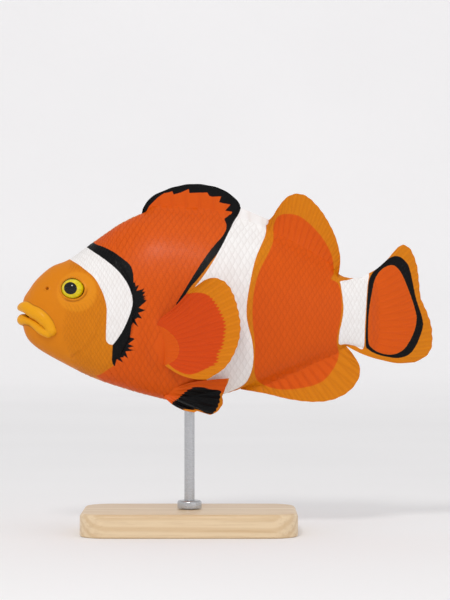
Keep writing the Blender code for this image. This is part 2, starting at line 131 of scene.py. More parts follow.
ROOT_SUNK = 1.1
SPINY_DORSAL_MARGIN = (
    (-17.8, 19.5), (-16.9, 21.0), (-15.6, 22.3), (-14.0, 23.1), (-11.5, 24.1), (-8.6, 24.75), (-6.2, 24.9),
    (-3.3, 24.55), (-0.4, 23.65), (2.1, 21.9), (3.2, 20.5), (3.5, 19.75), (6.3, 18.5), (9.6, 17.1),
)
SPINY_DORSAL_ROOT = (-18.2, 9.4)
SOFT_DORSAL_MARGIN = (
    (9.3, 16.9), (10.3, 17.9), (11.4, 19.7), (12.8, 21.5), (14.2, 22.5), (15.8, 22.8), (17.4, 22.4),
    (19.0, 21.2), (21.3, 18.5), (23.7, 14.1), (24.9, 9.8), (24.9, 7.0), (24.5, 4.9),
)
SOFT_DORSAL_ROOT = (8.6, 24.4)
ANAL_MARGIN = (
    (3.4, -19.5), (9.0, -20.5), (14.0, -21.7), (19.0, -22.3), (23.2, -21.9), (26.9, -20.1),
    (29.1, -17.2), (29.2, -14.4), (27.6, -11.7),
)
ANAL_ROOT = (3.2, 25.6)
TAIL_ROOT = ((29.2, 4.3), (30.4, -3.2), (26.0, -10.0))
TAIL_UPPER_EDGE = ((29.2, 4.3), (31.2, 5.5), (33.1, 6.6), (35.5, 8.7), (36.6, 10.0), (38.0, 11.5))
TAIL_LOWER_EDGE = (
    (26.0, -10.0), (28.6, -11.4), (30.4, -12.2), (32.3, -12.85), (34.0, -13.3), (37.7, -14.05), (41.8, -13.9),
)
TAIL_MARGIN = (
    (38.0, 11.5), (39.3, 11.9), (40.9, 10.7), (42.2, 7.4), (42.7, 3.6), (43.1, 0.3), (44.4, -2.6),
    (45.5, -5.8), (45.75, -8.8), (45.55, -10.7), (44.4, -12.5), (41.8, -13.9),
)
PECTORAL_ROOT = ((-14.7, -5.8), (-13.6, -10.0), (-13.2, -14.0))
PECTORAL_UPPER_EDGE = ((-14.7, -5.8), (-13.6, -4.1), (-10.5, -1.5), (-8.3, 0.9), (-6.3, 2.5), (-4.3, 4.0))
PECTORAL_LOWER_EDGE = ((-13.2, -14.0), (-9.8, -16.0), (-6.6, -16.9), (-3.7, -17.0))
PECTORAL_MARGIN = (
    (-4.3, 4.0), (-2.2, 4.5), (0.4, 3.3), (2.2, 0.0), (3.3, -5.4), (2.6, -10.0), (0.2, -14.3), (-3.7, -17.0),
)
PELVIC_ROOT = ((-13.2, -21.0), (-12.2, -20.2), (-11.2, -19.2))
PELVIC_OUTER_EDGE = ((-13.2, -21.0), (-11.4, -22.6), (-9.0, -23.8), (-6.6, -24.3))
PELVIC_INNER_EDGE = ((-11.2, -19.2), (-7.4, -17.9), (-3.4, -17.3), (1.0, -16.9))
PELVIC_MARGIN = (
    (-6.6, -24.25), (-5.5, -23.85), (-4.3, -24.3), (-3.1, -24.75), (-1.7, -24.1), (-0.5, -22.6),
    (-0.55, -21.0), (0.1, -19.2), (1.0, -16.9),
)

# ---------------------------------------------------------------- the markings' outlines, as (x, height)

HEAD_BAND = (
    (-36.2, 10.2), (-33.55, 8.6), (-31.4, 7.35), (-30.1, 6.4), (-28.45, 5.1), (-27.15, 3.45), (-25.95, 1.0),
    (-25.3, -1.3), (-25.2, -3.1), (-25.4, -8.3), (-25.0, -9.4), (-24.4, -9.7), (-23.8, -9.6),
    (-22.0, -7.1), (-20.6, -4.2), (-19.8, -1.8), (-19.7, -0.1), (-20.1, 1.7), (-21.1, 3.8), (-23.0, 6.2),
    (-26.1, 8.7), (-29.6, 11.0), (-33.1, 13.3),
)
HEAD_EDGE_SMOOTH = (  # the black band's smooth lower front, hidden under the white, and its upper rear
    (-23.9, -9.7), (-22.4, -6.4), (-21.0, -3.2), (-20.8, 0.0), (-22.0, 3.0), (-26.0, 7.0), (-32.0, 12.0),
    (-32.0, 15.0), (-28.3, 12.1), (-26.1, 11.2), (-23.9, 10.1), (-21.8, 8.6), (-20.2, 7.2), (-19.6, 5.6),
    (-19.5, 4.4),
)
HEAD_EDGE_SPIKES = (
    (-19.5, 3.3), (-19.1, 3.9), (-19.1, 2.6), (-18.2, 3.2), (-18.9, 1.7), (-17.9, 2.0), (-17.1, 2.3),
    (-17.7, 1.5), (-16.8, 1.6), (-17.7, 0.6), (-16.6, 0.8), (-17.5, 0.1), (-16.9, 0.2), (-17.2, -0.2),
    (-16.5, -0.3), (-17.3, -0.9), (-18.4, -1.9), (-16.8, -2.4), (-18.5, -3.0), (-17.6, -4.2), (-18.6, -4.0),
    (-19.2, -4.4), (-18.4, -6.1), (-19.6, -5.0), (-19.9, -5.7), (-20.1, -7.3), (-20.3, -8.2), (-19.0, -8.4),
    (-20.7, -9.6), (-19.3, -10.1), (-21.1, -10.5), (-19.0, -11.0), (-21.3, -11.2), (-20.7, -12.7),
    (-21.6, -12.1), (-21.7, -12.5), (-22.4, -12.5), (-21.7, -13.7), (-23.2, -12.8), (-23.6, -14.5),
    (-24.0, -14.0), (-24.2, -13.1), (-24.0, -10.1),
)
BAR_FRONT = (
    (4.4, 25.0), (3.3, 19.3), (1.9, 16.7), (0.8, 14.4), (-0.4, 11.9), (-2.5, 8.1), (-4.3, 5.3), (-6.85, 1.9),
    (-8.8, -1.3), (-9.6, -5.5), (-8.7, -9.8), (-6.6, -13.4), (-4.3, -16.6), (-2.8, -19.8), (-1.8, -21.6),
)
BAR_REAR = (
    (0.6, -20.2), (3.2, -19.0), (4.9, -17.4), (6.0, -13.9), (5.9, -9.6), (4.8, -5.0), (4.6, -2.2), (4.9, 0.9),
    (6.0, 6.6), (6.8, 9.3), (7.9, 11.9), (8.6, 13.5), (8.9, 15.0), (8.9, 16.0), (9.4, 17.0), (9.4, 25.0),
)
TAIL_STALK_BAR = (
    (25.0, 3.8), (26.6, 4.1), (28.0, 4.6), (29.4, 5.4), (31.3, 5.6), (31.0, 2.9), (30.7, -0.7),
    (30.4, -5.7), (30.1, -10.7), (28.3, -10.2), (26.3, -9.8), (24.7, -9.7), (24.8, -7.0), (25.3, -4.7),
    (25.6, -1.7), (25.1, 2.9),
)
WEDGE_FRONT = ((0.3, 16.1), (0.2, 14.9), (-0.7, 13.3), (-2.2, 11.6), (-4.9, 7.9), (-10.4, -1.0))
WEDGE_REAR = (
    (-10.2, -4.0), (-9.7, -8.6), (-9.7, -5.0), (-9.3, -1.2), (-7.72, 2.0), (-5.9, 4.15), (-4.25, 6.25),
    (-2.8, 8.2), (-1.55, 9.8), (-0.2, 11.9), (1.0, 14.0), (3.6, 19.2), (4.4, 25.0),
)
DORSAL_SAW = (
    (-18.4, 18.3), (-17.1, 18.8), (-16.3, 20.2), (-14.6, 21.9), (-13.1, 22.9), (-12.3, 23.0), (-11.4, 23.3),
    (-11.1, 22.6), (-9.6, 23.0), (-7.8, 23.8), (-7.7, 22.9), (-5.8, 23.0), (-3.8, 23.0), (-3.4, 22.3),
    (-2.7, 22.1), (-0.8, 22.2), (-1.3, 20.9), (1.2, 20.4), (0.0, 19.1), (1.9, 18.8), (-0.2, 17.3),
)
DORSAL_BEYOND = ((4.4, 25.0), (2.0, 27.0), (-6.0, 29.0), (-16.0, 27.0), (-20.0, 21.0))
REAR_PATCH = (
    (10.5, 15.7), (11.2, 17.6), (13.1, 18.4), (16.5, 17.7), (20.5, 14.0), (23.0, 9.8), (23.6, 5.8),
    (22.9, 4.3), (24.6, 3.2), (25.2, -0.6), (25.0, -4.1), (24.2, -9.0), (24.7, -12.3), (23.0, -15.9),
    (19.8, -18.5), (13.1, -19.6), (8.2, -18.5), (6.4, -16.1), (6.4, -10.0), (5.9, -4.3), (6.1, 0.9),
    (7.3, 5.8), (10.2, 11.8),
)
TAIL_RING = (
    (31.8, 5.2), (34.9, 8.15), (36.3, 9.15), (37.7, 9.4), (39.1, 8.7), (40.4, 6.9), (41.4, 2.7), (42.0, 0.0),
    (43.3, -3.9), (43.55, -6.0), (42.8, -8.4), (41.8, -10.5), (40.3, -12.2), (38.0, -12.9), (35.8, -12.7),
    (33.3, -12.1), (31.3, -11.0), (30.55, -9.2), (30.95, 0.8),
)
TAIL_INSIDE = (
    (32.4, 3.4), (33.4, 5.6), (34.95, 6.95), (36.4, 7.4), (37.6, 6.9), (38.9, 5.1), (40.7, 0.8),
    (41.85, -2.8), (42.05, -4.8), (41.4, -7.4), (39.8, -10.3), (38.1, -11.7), (36.0, -12.15), (33.7, -11.7),
    (31.8, -10.5), (31.15, -8.8), (31.25, -3.0),
)
PECTORAL_INSIDE = (
    (-16.5, -5.2), (-12.6, -0.6), (-9.6, 1.5), (-7.7, 1.15), (-6.0, 1.35), (-3.8, 0.9), (-2.1, -0.8),
    (-0.5, -3.8), (0.0, -5.5), (-0.1, -7.3), (-0.6, -10.0), (-1.5, -11.6), (-1.8, -13.4), (-3.9, -14.7),
    (-7.3, -16.0), (-10.2, -15.2), (-12.3, -13.7), (-15.0, -12.0),
)
PECTORAL_BASE = (
    (-17.0, -5.2), (-14.5, -5.7), (-12.9, -6.3), (-11.4, -7.5), (-10.4, -8.7), (-9.8, -10.3), (-9.9, -11.6),
    (-10.7, -12.9), (-12.7, -14.2), (-15.0, -15.2), (-18.0, -10.0),
)
PELVIC_BLACK = (
    (-11.4, -22.5), (-10.1, -21.4), (-8.6, -20.0), (-7.2, -19.1), (-5.6, -18.9), (-3.3, -19.2),
    (-1.1, -19.5), (-1.0, -20.5), (-1.3, -22.4), (-2.2, -24.2), (-3.3, -24.7), (-4.2, -24.5), (-5.1, -23.9),
    (-5.8, -23.7), (-8.6, -23.7), (-9.7, -23.4),
)
PELVIC_DEEP = (
    (-14.0, -22.4), (-11.4, -22.5), (-10.1, -21.4), (-7.2, -19.6), (-3.3, -19.7), (-1.1, -19.9),
    (-0.6, -20.4), (-0.1, -19.5), (0.45, -18.2), (0.1, -16.4), (-3.6, -16.4), (-8.0, -15.6), (-14.0, -18.0),
)
CHEEK_MIDDLE, CHEEK_RADIUS = (-31.7, 1.5), 4.3  # the paler patch round the eye
GOLDEN_EDGE = 0.3  # width of the golden line along the nape and the belly

# Scales cover the body behind this outline of the bare snout, chin and lips.
HEAD_SCALES = (
    (-33.6, 13.0), (-35.3, 6.0), (-35.9, 1.0), (-35.6, -3.0), (-36.2, -7.0), (-35.0, -10.5), (-34.0, -13.6),
    (-33.0, -19.0), (-15.0, -22.0), (-15.0, 22.0), (-24.0, 18.0),
)

# Colours in plain light, as red, green and blue out of 255. The mouth's brown is painted shade inside the
# mouth.
OCHRE, DEEP_ORANGE, RED_ORANGE = (213, 125, 12), (214, 86, 11), (208, 70, 12)
LIP_GOLD, CHEEK_GOLD, MOUTH_SHADE_BROWN = (230, 158, 20), (223, 139, 22), (58, 22, 8)
BLACK, WHITE = (6, 7, 9), (243, 241, 240)
NOWHERE = -2.0  # a mark's value far outside its marking
NOT_MET = -9.0  # how far a point has to move out of a ball that it never meets
OUTLINE_POINTS = 140  # along a smooth closed outline
MARKS = ("deep", "red", "cheek", "lips", "black", "white", "mouth")


# ---------------------------------------------------------------- curves and the body's plain shape


def through(points, count, first=None):
    """count points along a smooth curve through the given ones. first stands before the first of them."""
    known = np.array(points, float)
    before = 2 * known[0] - known[1] if first is None else np.array(first, float)
    after = 2 * known[-1] - known[-2]
    padded = np.vstack([before, known, after])
    along = np.linspace(0, len(known) - 1, count)
    span = np.minimum(along.astype(int), len(known) - 2)
    t = (along - span)[:, None]
    a, b, c, d = (padded[span + i] for i in range(4))
    return 0.5 * (2 * b + (c - a) * t + (2 * a - 5 * b + 4 * c - d) * t**2 + (3 * b - a - 3 * c + d) * t**3)


def evenly(points, count):
    """count points along the same curve, an equal way apart."""
    curve = through(points, 400)
    way = np.concatenate([[0], np.cumsum(np.linalg.norm(np.diff(curve, axis=0), axis=1))])
    steps = np.linspace(0, way[-1], count)
    return np.column_stack([np.interp(steps, way, curve[:, i]) for i in range(curve.shape[1])])


def smooth_outline(points):
    """A closed smooth curve through the points."""
    wrapped = np.array(points + points[:3], float)
    return through(wrapped[1:-1], OUTLINE_POINTS, first=wrapped[0])[:-1]


def smoothstep(low, high, value):
    t = np.clip((value - low) / (high - low), 0, 1)
    return t * t * (3 - 2 * t)


def hump(distance, width):
    return np.exp(-((distance / width) ** 2))


_, snout_back, snout_belly, snout_width = STATIONS[1]
BODY = through(STATIONS, 1800, first=(STATIONS[1][0], snout_belly, snout_back, -snout_width))
PLACES = np.linspace(0, len(STATIONS) - 1, len(BODY))


def back_at(x):
    return np.interp(x, BODY[:, 0], BODY[:, 1])


def belly_at(x):
    return np.interp(x, BODY[:, 0], BODY[:, 2])


def flank(x, z):
    """Half width of the body at x and height z."""
    _, back, belly, width = (np.interp(x, BODY[:, 0], BODY[:, i]) for i in range(4))
    share = np.clip((z - (back + belly) / 2) / ((back - belly) / 2), *FLANK_LIMITS)
    power = BELLY_POWER + (BACK_POWER - BELLY_POWER) * (1 + share) / 2
    return width * (1 - share**2) ** (power / 2)


TURN_TABLE = np.linspace(0, 2 * math.pi, 2001)
TURN_WAY = np.concatenate(
    [[0], np.cumsum(np.hypot(np.diff(np.sin(TURN_TABLE)) * USUAL_ASPECT, np.diff(np.cos(TURN_TABLE))))]
)


def turn_of(share):
    """The angle at a share of the way round: 0 on the back, a quarter on the left flank, a half below."""
    share = np.asarray(share, float)
    return np.interp(share % 1, TURN_WAY / TURN_WAY[-1], TURN_TABLE) + 2 * math.pi * np.floor(share)


def section(place, angle):
    """Points of the plain body at a place along the stations and an angle round them."""
    x, back, belly, width = (np.interp(place, PLACES, BODY[:, i]) for i in range(4))
    power = BELLY_POWER + (BACK_POWER - BELLY_POWER) * (1 + np.cos(angle)) / 2
    side = np.sin(angle)
    y = -side * width * (side**2 + RIDGE_ROUNDING**2) ** ((power - 1) / 2)
    z = (back + belly) / 2 + (back - belly) / 2 * np.cos(angle)
    return np.stack(np.broadcast_arrays(x, y, z), axis=-1)


def unit(vectors):
    return vectors / np.maximum(np.linalg.norm(vectors, axis=-1, keepdims=True), 1e-9)


def placed(laid_out):
    """Laid-out millimetres in metres, with the tail's swing and the height of the stand."""
    done = np.array(laid_out, float).reshape(-1, 3)
    share = np.clip((done[:, 0] - SWING_START) / (SWING_END - SWING_START), 0, None)
    done[:, 1] += SWING * share**2
    done[:, 0] -= LAID_OUT_MIDDLE
    done *= METRES
    done[:, 2] += AXIS
    return done


# ---------------------------------------------------------------- distances and markings


def from_middle(points, middle, size=(1.0, 1.0)):
    """1 on an ellipse of this middle and these half sizes, less inside it, at (x, height) points."""
    return np.hypot(*((points - middle) / size).T)


def distance_to(points, line):
    """How far each (x, height) point lies from a line of points."""
    nearest = np.full(len(points), 1e9)
    line = np.asarray(line, float)
    for start, end in zip(line[:-1], line[1:]):
        along = end - start
        share = np.clip((points - start) @ along / max(along @ along, 1e-12), 0, 1)
        off = points - start - share[:, None] * along
        nearest = np.minimum(nearest, off[:, 0] ** 2 + off[:, 1] ** 2)
    return np.sqrt(nearest)


def inside_by(points, outline):
    """How far each (x, height) point lies inside a closed outline, negative outside it."""
    outline = np.asarray(outline, float)
    result = np.full(len(points), NOWHERE)
    low, high = outline.min(0) + NOWHERE, outline.max(0) - NOWHERE
    near = np.flatnonzero(((points > low) & (points < high)).all(1))
    close = points[near]
    inside = np.zeros(len(close), bool)
    for (x0, z0), (x1, z1) in zip(outline, np.roll(outline, -1, axis=0)):
        crosses = (z0 > close[:, 1]) != (z1 > close[:, 1])
        if z0 != z1:
            inside ^= crosses & (close[:, 0] < (x1 - x0) * (close[:, 1] - z0) / (z1 - z0) + x0)
    away = distance_to(close, np.vstack([outline, outline[:1]]))
    result[near] = np.clip(np.where(inside, away, -away), NOWHERE, -NOWHERE)
    return result


def no_marks(count):
    return {mark: np.full(count, NOWHERE) for mark in MARKS}


def front_body_outline():
    """The deep orange between head band and middle bar, short of the golden lines on nape and belly."""
    nape, belly = np.linspace(-29.0, -18.6, 12), np.linspace(-3.0, -26.7, 16)
    top = np.column_stack([nape, back_at(nape) - GOLDEN_EDGE])
    bottom = np.column_stack([belly, belly_at(belly) + GOLDEN_EDGE])
    inner = (
        (-27.8, -16.5), (-26.7, -16.2), (-23.9, -14.3), (-24.0, -11.7), (-22.4, -6.4), (-20.8, 0.0), (-23, 5),
    )
    fin = ((-19.0, 21.0), (-16.0, 27.0), (-6.0, 29.0), (4.4, 27.0))
    under_black = np.vstack([np.array(BAR_FRONT[1:3]) - (0.3, 0), np.array(WEDGE_FRONT) + (0.3, 0)])
    return np.vstack([top, fin, under_black, through(BAR_FRONT[9:], 30), bottom, inner])


def body_marks(points):
    """The markings that the skin, the scales and the fins on the mid-plane share, at (x, height) points."""
    marks = no_marks(len(points))
    black_edge = np.vstack([through(HEAD_EDGE_SMOOTH, 60), HEAD_EDGE_SPIKES])
    wedge = np.vstack([through(WEDGE_FRONT, 40), through(WEDGE_REAR, 60)])
    dorsal_edge = np.vstack([DORSAL_SAW, WEDGE_FRONT[:1], through(BAR_FRONT[3:0:-1], 20), DORSAL_BEYOND])
    bar = np.vstack([through(BAR_FRONT, 80), through(BAR_REAR, 70)])
    tail_ring, tail_inside = (inside_by(points, smooth_outline(ring)) for ring in (TAIL_RING, TAIL_INSIDE))
    marks["deep"] = np.maximum.reduce([
        inside_by(points, front_body_outline()), inside_by(points, smooth_outline(REAR_PATCH)), tail_inside,
    ])
    marks["black"] = np.maximum.reduce([
        inside_by(points, black_edge), inside_by(points, wedge), inside_by(points, dorsal_edge),
        np.minimum(tail_ring, -tail_inside),
    ])
    marks["white"] = np.maximum.reduce([
        inside_by(points, smooth_outline(HEAD_BAND)), inside_by(points, bar),
        inside_by(points, smooth_outline(TAIL_STALK_BAR)),
    ])
    marks["cheek"] = CHEEK_RADIUS - from_middle(points, CHEEK_MIDDLE)
    return marks


def teeth_of(ray_phase, depth):
    """Two teeth to each ray, as an inward and outward reach in millimetres."""
    return depth * np.cos(4 * math.pi * ray_phase)


def pectoral_marks(points, ray_phase):
    """Red inside, with a finely toothed rear edge, on ochre; the fleshy base is body orange."""
    marks = no_marks(len(points))
    teeth = teeth_of(ray_phase, 0.3) * smoothstep(-4.5, -1.5, points[:, 0])
    base = inside_by(points, smooth_outline(PECTORAL_BASE))
    marks["red"] = np.minimum(inside_by(points, smooth_outline(PECTORAL_INSIDE)) + teeth, -base)
    marks["deep"] = base
    return marks


def pelvic_marks(points, ray_phase):
    """Black below a deep orange base, on ochre."""
    marks = no_marks(len(points))
    marks["black"] = inside_by(points, smooth_outline(PELVIC_BLACK)) + teeth_of(ray_phase, 0.12)
    marks["deep"] = inside_by(points, smooth_outline(PELVIC_DEEP))
    return marks


# ---------------------------------------------------------------- meshes


def in_scene(name, data):
    """A new object of this data, in the scene."""
    obj = bpy.data.objects.new(name, data)
    bpy.context.scene.collection.objects.link(obj)
    return obj


def mesh_piece(name, points, faces, look, values=None, uv=None, sharp=180):
    """A closed mesh piece of points in metres, with numbers on its vertices and one uv point per corner."""
    mesh = bpy.data.meshes.new(name)
    mesh.from_pydata(points.tolist(), [], faces)
    mesh.materials.append(look)
    for key, numbers in (values or {}).items():
        made = mesh.attributes.new(key, "FLOAT", "POINT")
        made.data.foreach_set("value", np.ascontiguousarray(numbers, "f"))
    if uv is not None:
        mesh.uv_layers.new(name="OFBake").data.foreach_set("uv", np.ascontiguousarray(uv, "f").ravel())
    tidy = bmesh.new()
    tidy.from_mesh(mesh)
    bmesh.ops.recalc_face_normals(tidy, faces=tidy.faces)
    tidy.to_mesh(mesh)
    tidy.free()
    mesh.shade_smooth()
    mesh.set_sharp_from_angle(angle=math.radians(sharp))
    return in_scene(name, mesh)


def shell_faces(rings, columns):
    """The faces of a shell of rings of points, closed at its two ends by the two points after the rings."""
    count = rings * columns
    around = np.arange(columns)
    after = (around + 1) % columns
    first = np.column_stack([np.full(columns, count), after, around])
    last = np.column_stack([np.full(columns, count + 1), count - columns + around, count - columns + after])
    return quads(rings, columns, wrap=True).tolist() + first.tolist() + last.tolist()


def quads(rows, columns, wrap=False):
    """The cells of a grid of rows of points. wrap joins the last column to the first."""
    cells = columns if wrap else columns - 1
    row, column = np.meshgrid(np.arange(rows - 1), np.arange(cells), indexing="ij")
    after = (column + 1) % columns
    here, beyond = row * columns, (row + 1) * columns
    corners = (here + column, here + after, beyond + after, beyond + column)
    return np.stack(corners, axis=-1).reshape(-1, 4)


def slab_faces(rows, columns):
    """One grid's cells, its rim, and all faces of the closed slab between it and a second grid after it."""
    sheet = quads(rows, columns)
    rim = np.concatenate([
        np.arange(rows) * columns,
        (rows - 1) * columns + np.arange(1, columns),
        np.arange(rows - 2, -1, -1) * columns + columns - 1,
        np.arange(columns - 2, 0, -1),
    ])
    after = np.roll(rim, -1)
    count = rows * columns
    edge = np.column_stack([rim, after, after + count, rim + count])
    return sheet, rim, np.vstack([sheet, sheet[:, ::-1] + count, edge])


# ---------------------------------------------------------------- the skin


def reach_of(points, outwards, centre, radii):
    """How far each point has to move outwards to come out of a ball, or NOT_MET."""
    way, start = outwards / radii, (points - centre) / radii
    a, b, c = (way**2).sum(1), (way * start).sum(1), (start**2).sum(1) - 1
    room = b**2 - a * c
    return np.where(room > 0, (-b + np.sqrt(np.maximum(room, 0))) / a, NOT_MET)


def left_half(line, count):
    """Beads (x, y, height, radius) along a lip, from the middle of the mouth to its left corner."""
    half = np.array(line, float)
    whole = evenly(np.vstack([half[:0:-1] * (1, -1, 1, 1), half]), 2 * count - 1)[count - 1 :]
    return whole * (1, -1, 1, 1)


def out_of_lip(points, outwards, line):
    reach = np.full(len(points), NOT_MET)
    for x, y, z, radius in left_half(line, 90):
        reach = np.maximum(reach, reach_of(points, outwards, (x, y, z), (radius,) * 3))
    return reach


def over(one, other, rounding):
    """The higher of two heights, with a soft crease where they meet."""
    meet = np.maximum(rounding - np.abs(one - other), 0) / rounding
    return np.maximum(one, other) + meet**2 * rounding / 4


def around_eye(points):
    """1 on the iris's outline, less inside it."""
    return from_middle(points[:, [0, 2]], IRIS_MIDDLE, IRIS_SIZE)


def x_of(line, z):
    """x of a line of (x, height) points, given from the top down, at a height."""
    upwards = through(line, 60)[::-1]
    return np.interp(z, upwards[:, 1], upwards[:, 0])


def orbit(points, outwards, rise):
    """The skin drawn over the eyeball, its opening, and the skin's crease below and behind it, with painted
    shade along that crease.
    """
    ring = around_eye(points)
    turn = np.arctan2(points[:, 2] - IRIS_MIDDLE[1], points[:, 0] - IRIS_MIDDLE[0])
    fold_and_shade = smoothstep(0.2, 0.75, np.cos(turn - EYE_FOLD_TURN))
    centre = (EYE_X, -(flank(EYE_X, EYE_HEIGHT) - EYE_SUNK), EYE_HEIGHT)
    ball = reach_of(points, outwards, centre, np.array(EYEBALL) + (0.25, 0.2, 0.25))
    rise = over(rise, np.where(ring < 2, ball, NOT_MET), 0.5)
    rise += 0.14 * hump(ring - 1.07, 0.07) - 0.13 * fold_and_shade * hump(ring - 1.24, 0.06)
    rise += 0.1 * fold_and_shade * hump(ring - 1.4, 0.12)
    # The second value is painted shade along the crease below the eye.
    return rise - 1.9 * smoothstep(1.05, 0.82, ring), fold_and_shade * hump(ring - 1.24, 0.07)


def creases(points, rise):
    """The gill cover's edge, the ridge on the cheek and the nostrils, with painted shade in the gill cover's
    groove and in the nostrils' pits.
    """
    flat = points[:, [0, 2]]
    gill = distance_to(flat, through(GILL_EDGE, 50))
    ahead = points[:, 0] < x_of(GILL_EDGE, points[:, 2])
    shown = smoothstep(8.8, 5.4, points[:, 2]) * smoothstep(-16.4, -11.0, points[:, 2])
    rise += shown * np.where(ahead, 0.24 * np.exp(-gill / 1.6), -0.3 * hump(gill, 0.55))
    ridge = distance_to(flat, through(CHEEK_RIDGE, 40))
    behind = points[:, 0] > x_of(CHEEK_RIDGE, points[:, 2])
    rise += np.where(behind, -0.13 * hump(ridge, 0.4), 0.1 * hump(ridge, 0.9))
    nostril = from_middle(flat, NOSTRIL)
    rise += 0.12 * hump(nostril - 0.48, 0.16) - 0.55 * smoothstep(0.42, 0.16, nostril)
    # The second value is painted shade in the gill cover's groove and in the nostrils.
    return rise, shown * hump(gill, 0.25) * ~ahead + smoothstep(0.4, 0.2, nostril)


def mouth(points, outwards, rise):
    """The lips, and the parting between them, which opens into the mouth at the front, with painted shade
    along the lips' edges and in the parting.
    """
    slit = left_half(MOUTH_SLIT, 60)
    away = np.min([np.linalg.norm(points - bead[:3], axis=1) / bead[3] for bead in slit], axis=0)
    depth = 0.5 + 2.0 * smoothstep(-3.6, -1.2, points[:, 1])
    rise = rise - depth * smoothstep(1.15, 0.6, away)
    upper, lower = (out_of_lip(points, outwards, line) for line in (UPPER_LIP, LOWER_LIP))
    lips = over(upper, lower, 0.22)
    parting = hump(upper - lower, 0.2) * (lips > rise) * smoothstep(-38.0, -38.8, points[:, 0])
    lipped = np.clip(2 * (lips - rise), NOWHERE, -NOWHERE)
    # crease is painted shade along the lips' edge and in the parting between them.
    crease = 0.9 * hump(lips - rise + 0.05, 0.22) * smoothstep(1.0, 1.5, away) + parting
    return over(rise, lips - 0.25 * parting, 0.3), lipped, crease


def fin_roots(points, rise):
    """Flesh drawn up the sides of the fins on the mid-plane, and raised at the base of each pectoral fin."""
    x, y, z = points.T
    top = smoothstep(-18.5, -15.0, x) * smoothstep(25.0, 22.0, x) * (z > 0)
    bottom = smoothstep(4.0, 8.0, x) * smoothstep(26.5, 23.5, x) * (z < 0)
    rise = rise + 1.5 * (top + bottom) * np.exp(-np.abs(y) / 0.6)
    base = from_middle(points[:, [0, 2]], *PECTORAL_FLESH)
    return rise + 0.75 * smoothstep(1.35, 0.5, base)


def skin_rings():
    """Places of the skin's rings along the stations, closer together on the head."""
    step = np.hypot(np.diff(BODY[:, 0]), np.abs(np.diff(BODY[:, 1:3], axis=0)).mean(1))
    x = BODY[1:, 0]
    spacing = np.array(RING_STEPS)[np.searchsorted(RING_LIMITS, x)]
    way = np.concatenate([[0], np.cumsum(step / spacing)])
    return np.interp(np.arange(1, round(way[-1]) + 1), way, PLACES)


def skin_shape():
    """The skin's grid of points, and its values. Its columns start on the belly."""
    places = skin_rings()[:, None]
    turns = turn_of(np.arange(AROUND) / AROUND + 0.5)[None, :]
    plain = section(places, turns)
    nudge = 1e-3
    along = section(places + nudge, turns) - section(np.maximum(places - nudge, 0), turns)
    round_it = section(places, turns + nudge) - section(places, turns - nudge)
    outwards = unit(np.cross(along, round_it)).reshape(-1, 3)
    flat = plain.reshape(-1, 3)
    outwards *= np.sign((outwards[:, 1] * flat[:, 1]).sum())
    mirror = np.where(flat[:, 1:2] > 0, (1, -1, 1), (1, 1, 1))
    points, ways = flat * mirror, outwards * mirror  # every point as if on the left side

    scaled = smoothstep(-38.5, -34.5, points[:, 0])
    rise = fin_roots(points, -BARE_DEPTH - (COAT_DEPTH - BARE_DEPTH) * scaled)
    rise, fold_and_shade = creases(points, rise)
    face = np.flatnonzero(points[:, 0] < -35)
    lipped, crease = np.full(len(points), NOWHERE), np.zeros(len(points))
    rise[face], lipped[face], crease[face] = mouth(points[face], ways[face], rise[face])
    head = np.flatnonzero(points[:, 0] < -25)
    rise[head], eye_fold_shade = orbit(points[head], ways[head], rise[head])
    fold_and_shade[head] += eye_fold_shade

    skin = flat + outwards * rise[:, None]
    marks = body_marks(skin[:, [0, 2]])
    marks["lips"] = lipped
    # The mouth's mark is painted shade: dark brown inside the mouth, where the skin lies deepest.
    marks["mouth"] = np.where(points[:, 0] < -38, np.clip(2 * (-0.7 - rise), NOWHERE, -NOWHERE), NOWHERE)
    # Painted shade in the creases: the gill cover's groove, the nostrils, the crease below the eye and the
    # lips' creases.
    marks["fold_and_shade"] = np.clip(fold_and_shade + crease, 0, 1)
    return skin.reshape(plain.shape), marks


UNWRAP_START, UNWRAP_REACH = 0.01, 0.98  # the skin's unwrap leaves a margin of 0.01 all round


def unwrap_along(surface):
    """For each ring of the skin, how far back it lies along the flank, as a share of the unwrap's width."""
    return UNWRAP_START + UNWRAP_REACH * surface.way / surface.way[-1]


def build_skin(look, surface, marks):
    """The skin as one closed mesh, unwrapped along the body and round it, from belly to belly."""
    grid, rings, columns = surface.grid, surface.rings, surface.columns
    points = np.vstack([grid.reshape(-1, 3), grid[0].mean(0), grid[-1].mean(0)])
    values = {key: np.append(numbers, [numbers[0], numbers[-1]]) for key, numbers in marks.items()}
    along = unwrap_along(surface)
    ring, column = np.divmod(quads(rings, columns, wrap=True), columns)
    column[:, 1:3] = column[:, :1] + 1
    around = UNWRAP_START + UNWRAP_REACH * column / columns
    body = np.stack([along[ring], around], axis=-1).reshape(-1, 2)
    low = UNWRAP_START + UNWRAP_REACH * np.arange(columns) / columns
    high = low + UNWRAP_REACH / columns
    snout_u, tail_u = np.full(columns, along[0]), np.full(columns, along[-1])
    snout = np.stack([snout_u * 0.4, low, snout_u, high, snout_u, low], axis=-1).reshape(-1, 2)
    tail = np.stack([tail_u * 1.006, low, tail_u, low, tail_u, high], axis=-1).reshape(-1, 2)
    faces = shell_faces(rings, columns)
    skin = mesh_piece("skin", placed(points), faces, look, values, np.vstack([body, snout, tail]))
    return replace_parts(skin, "head", "trunk", "tail_stalk", "lips")


# ---------------------------------------------------------------- scales

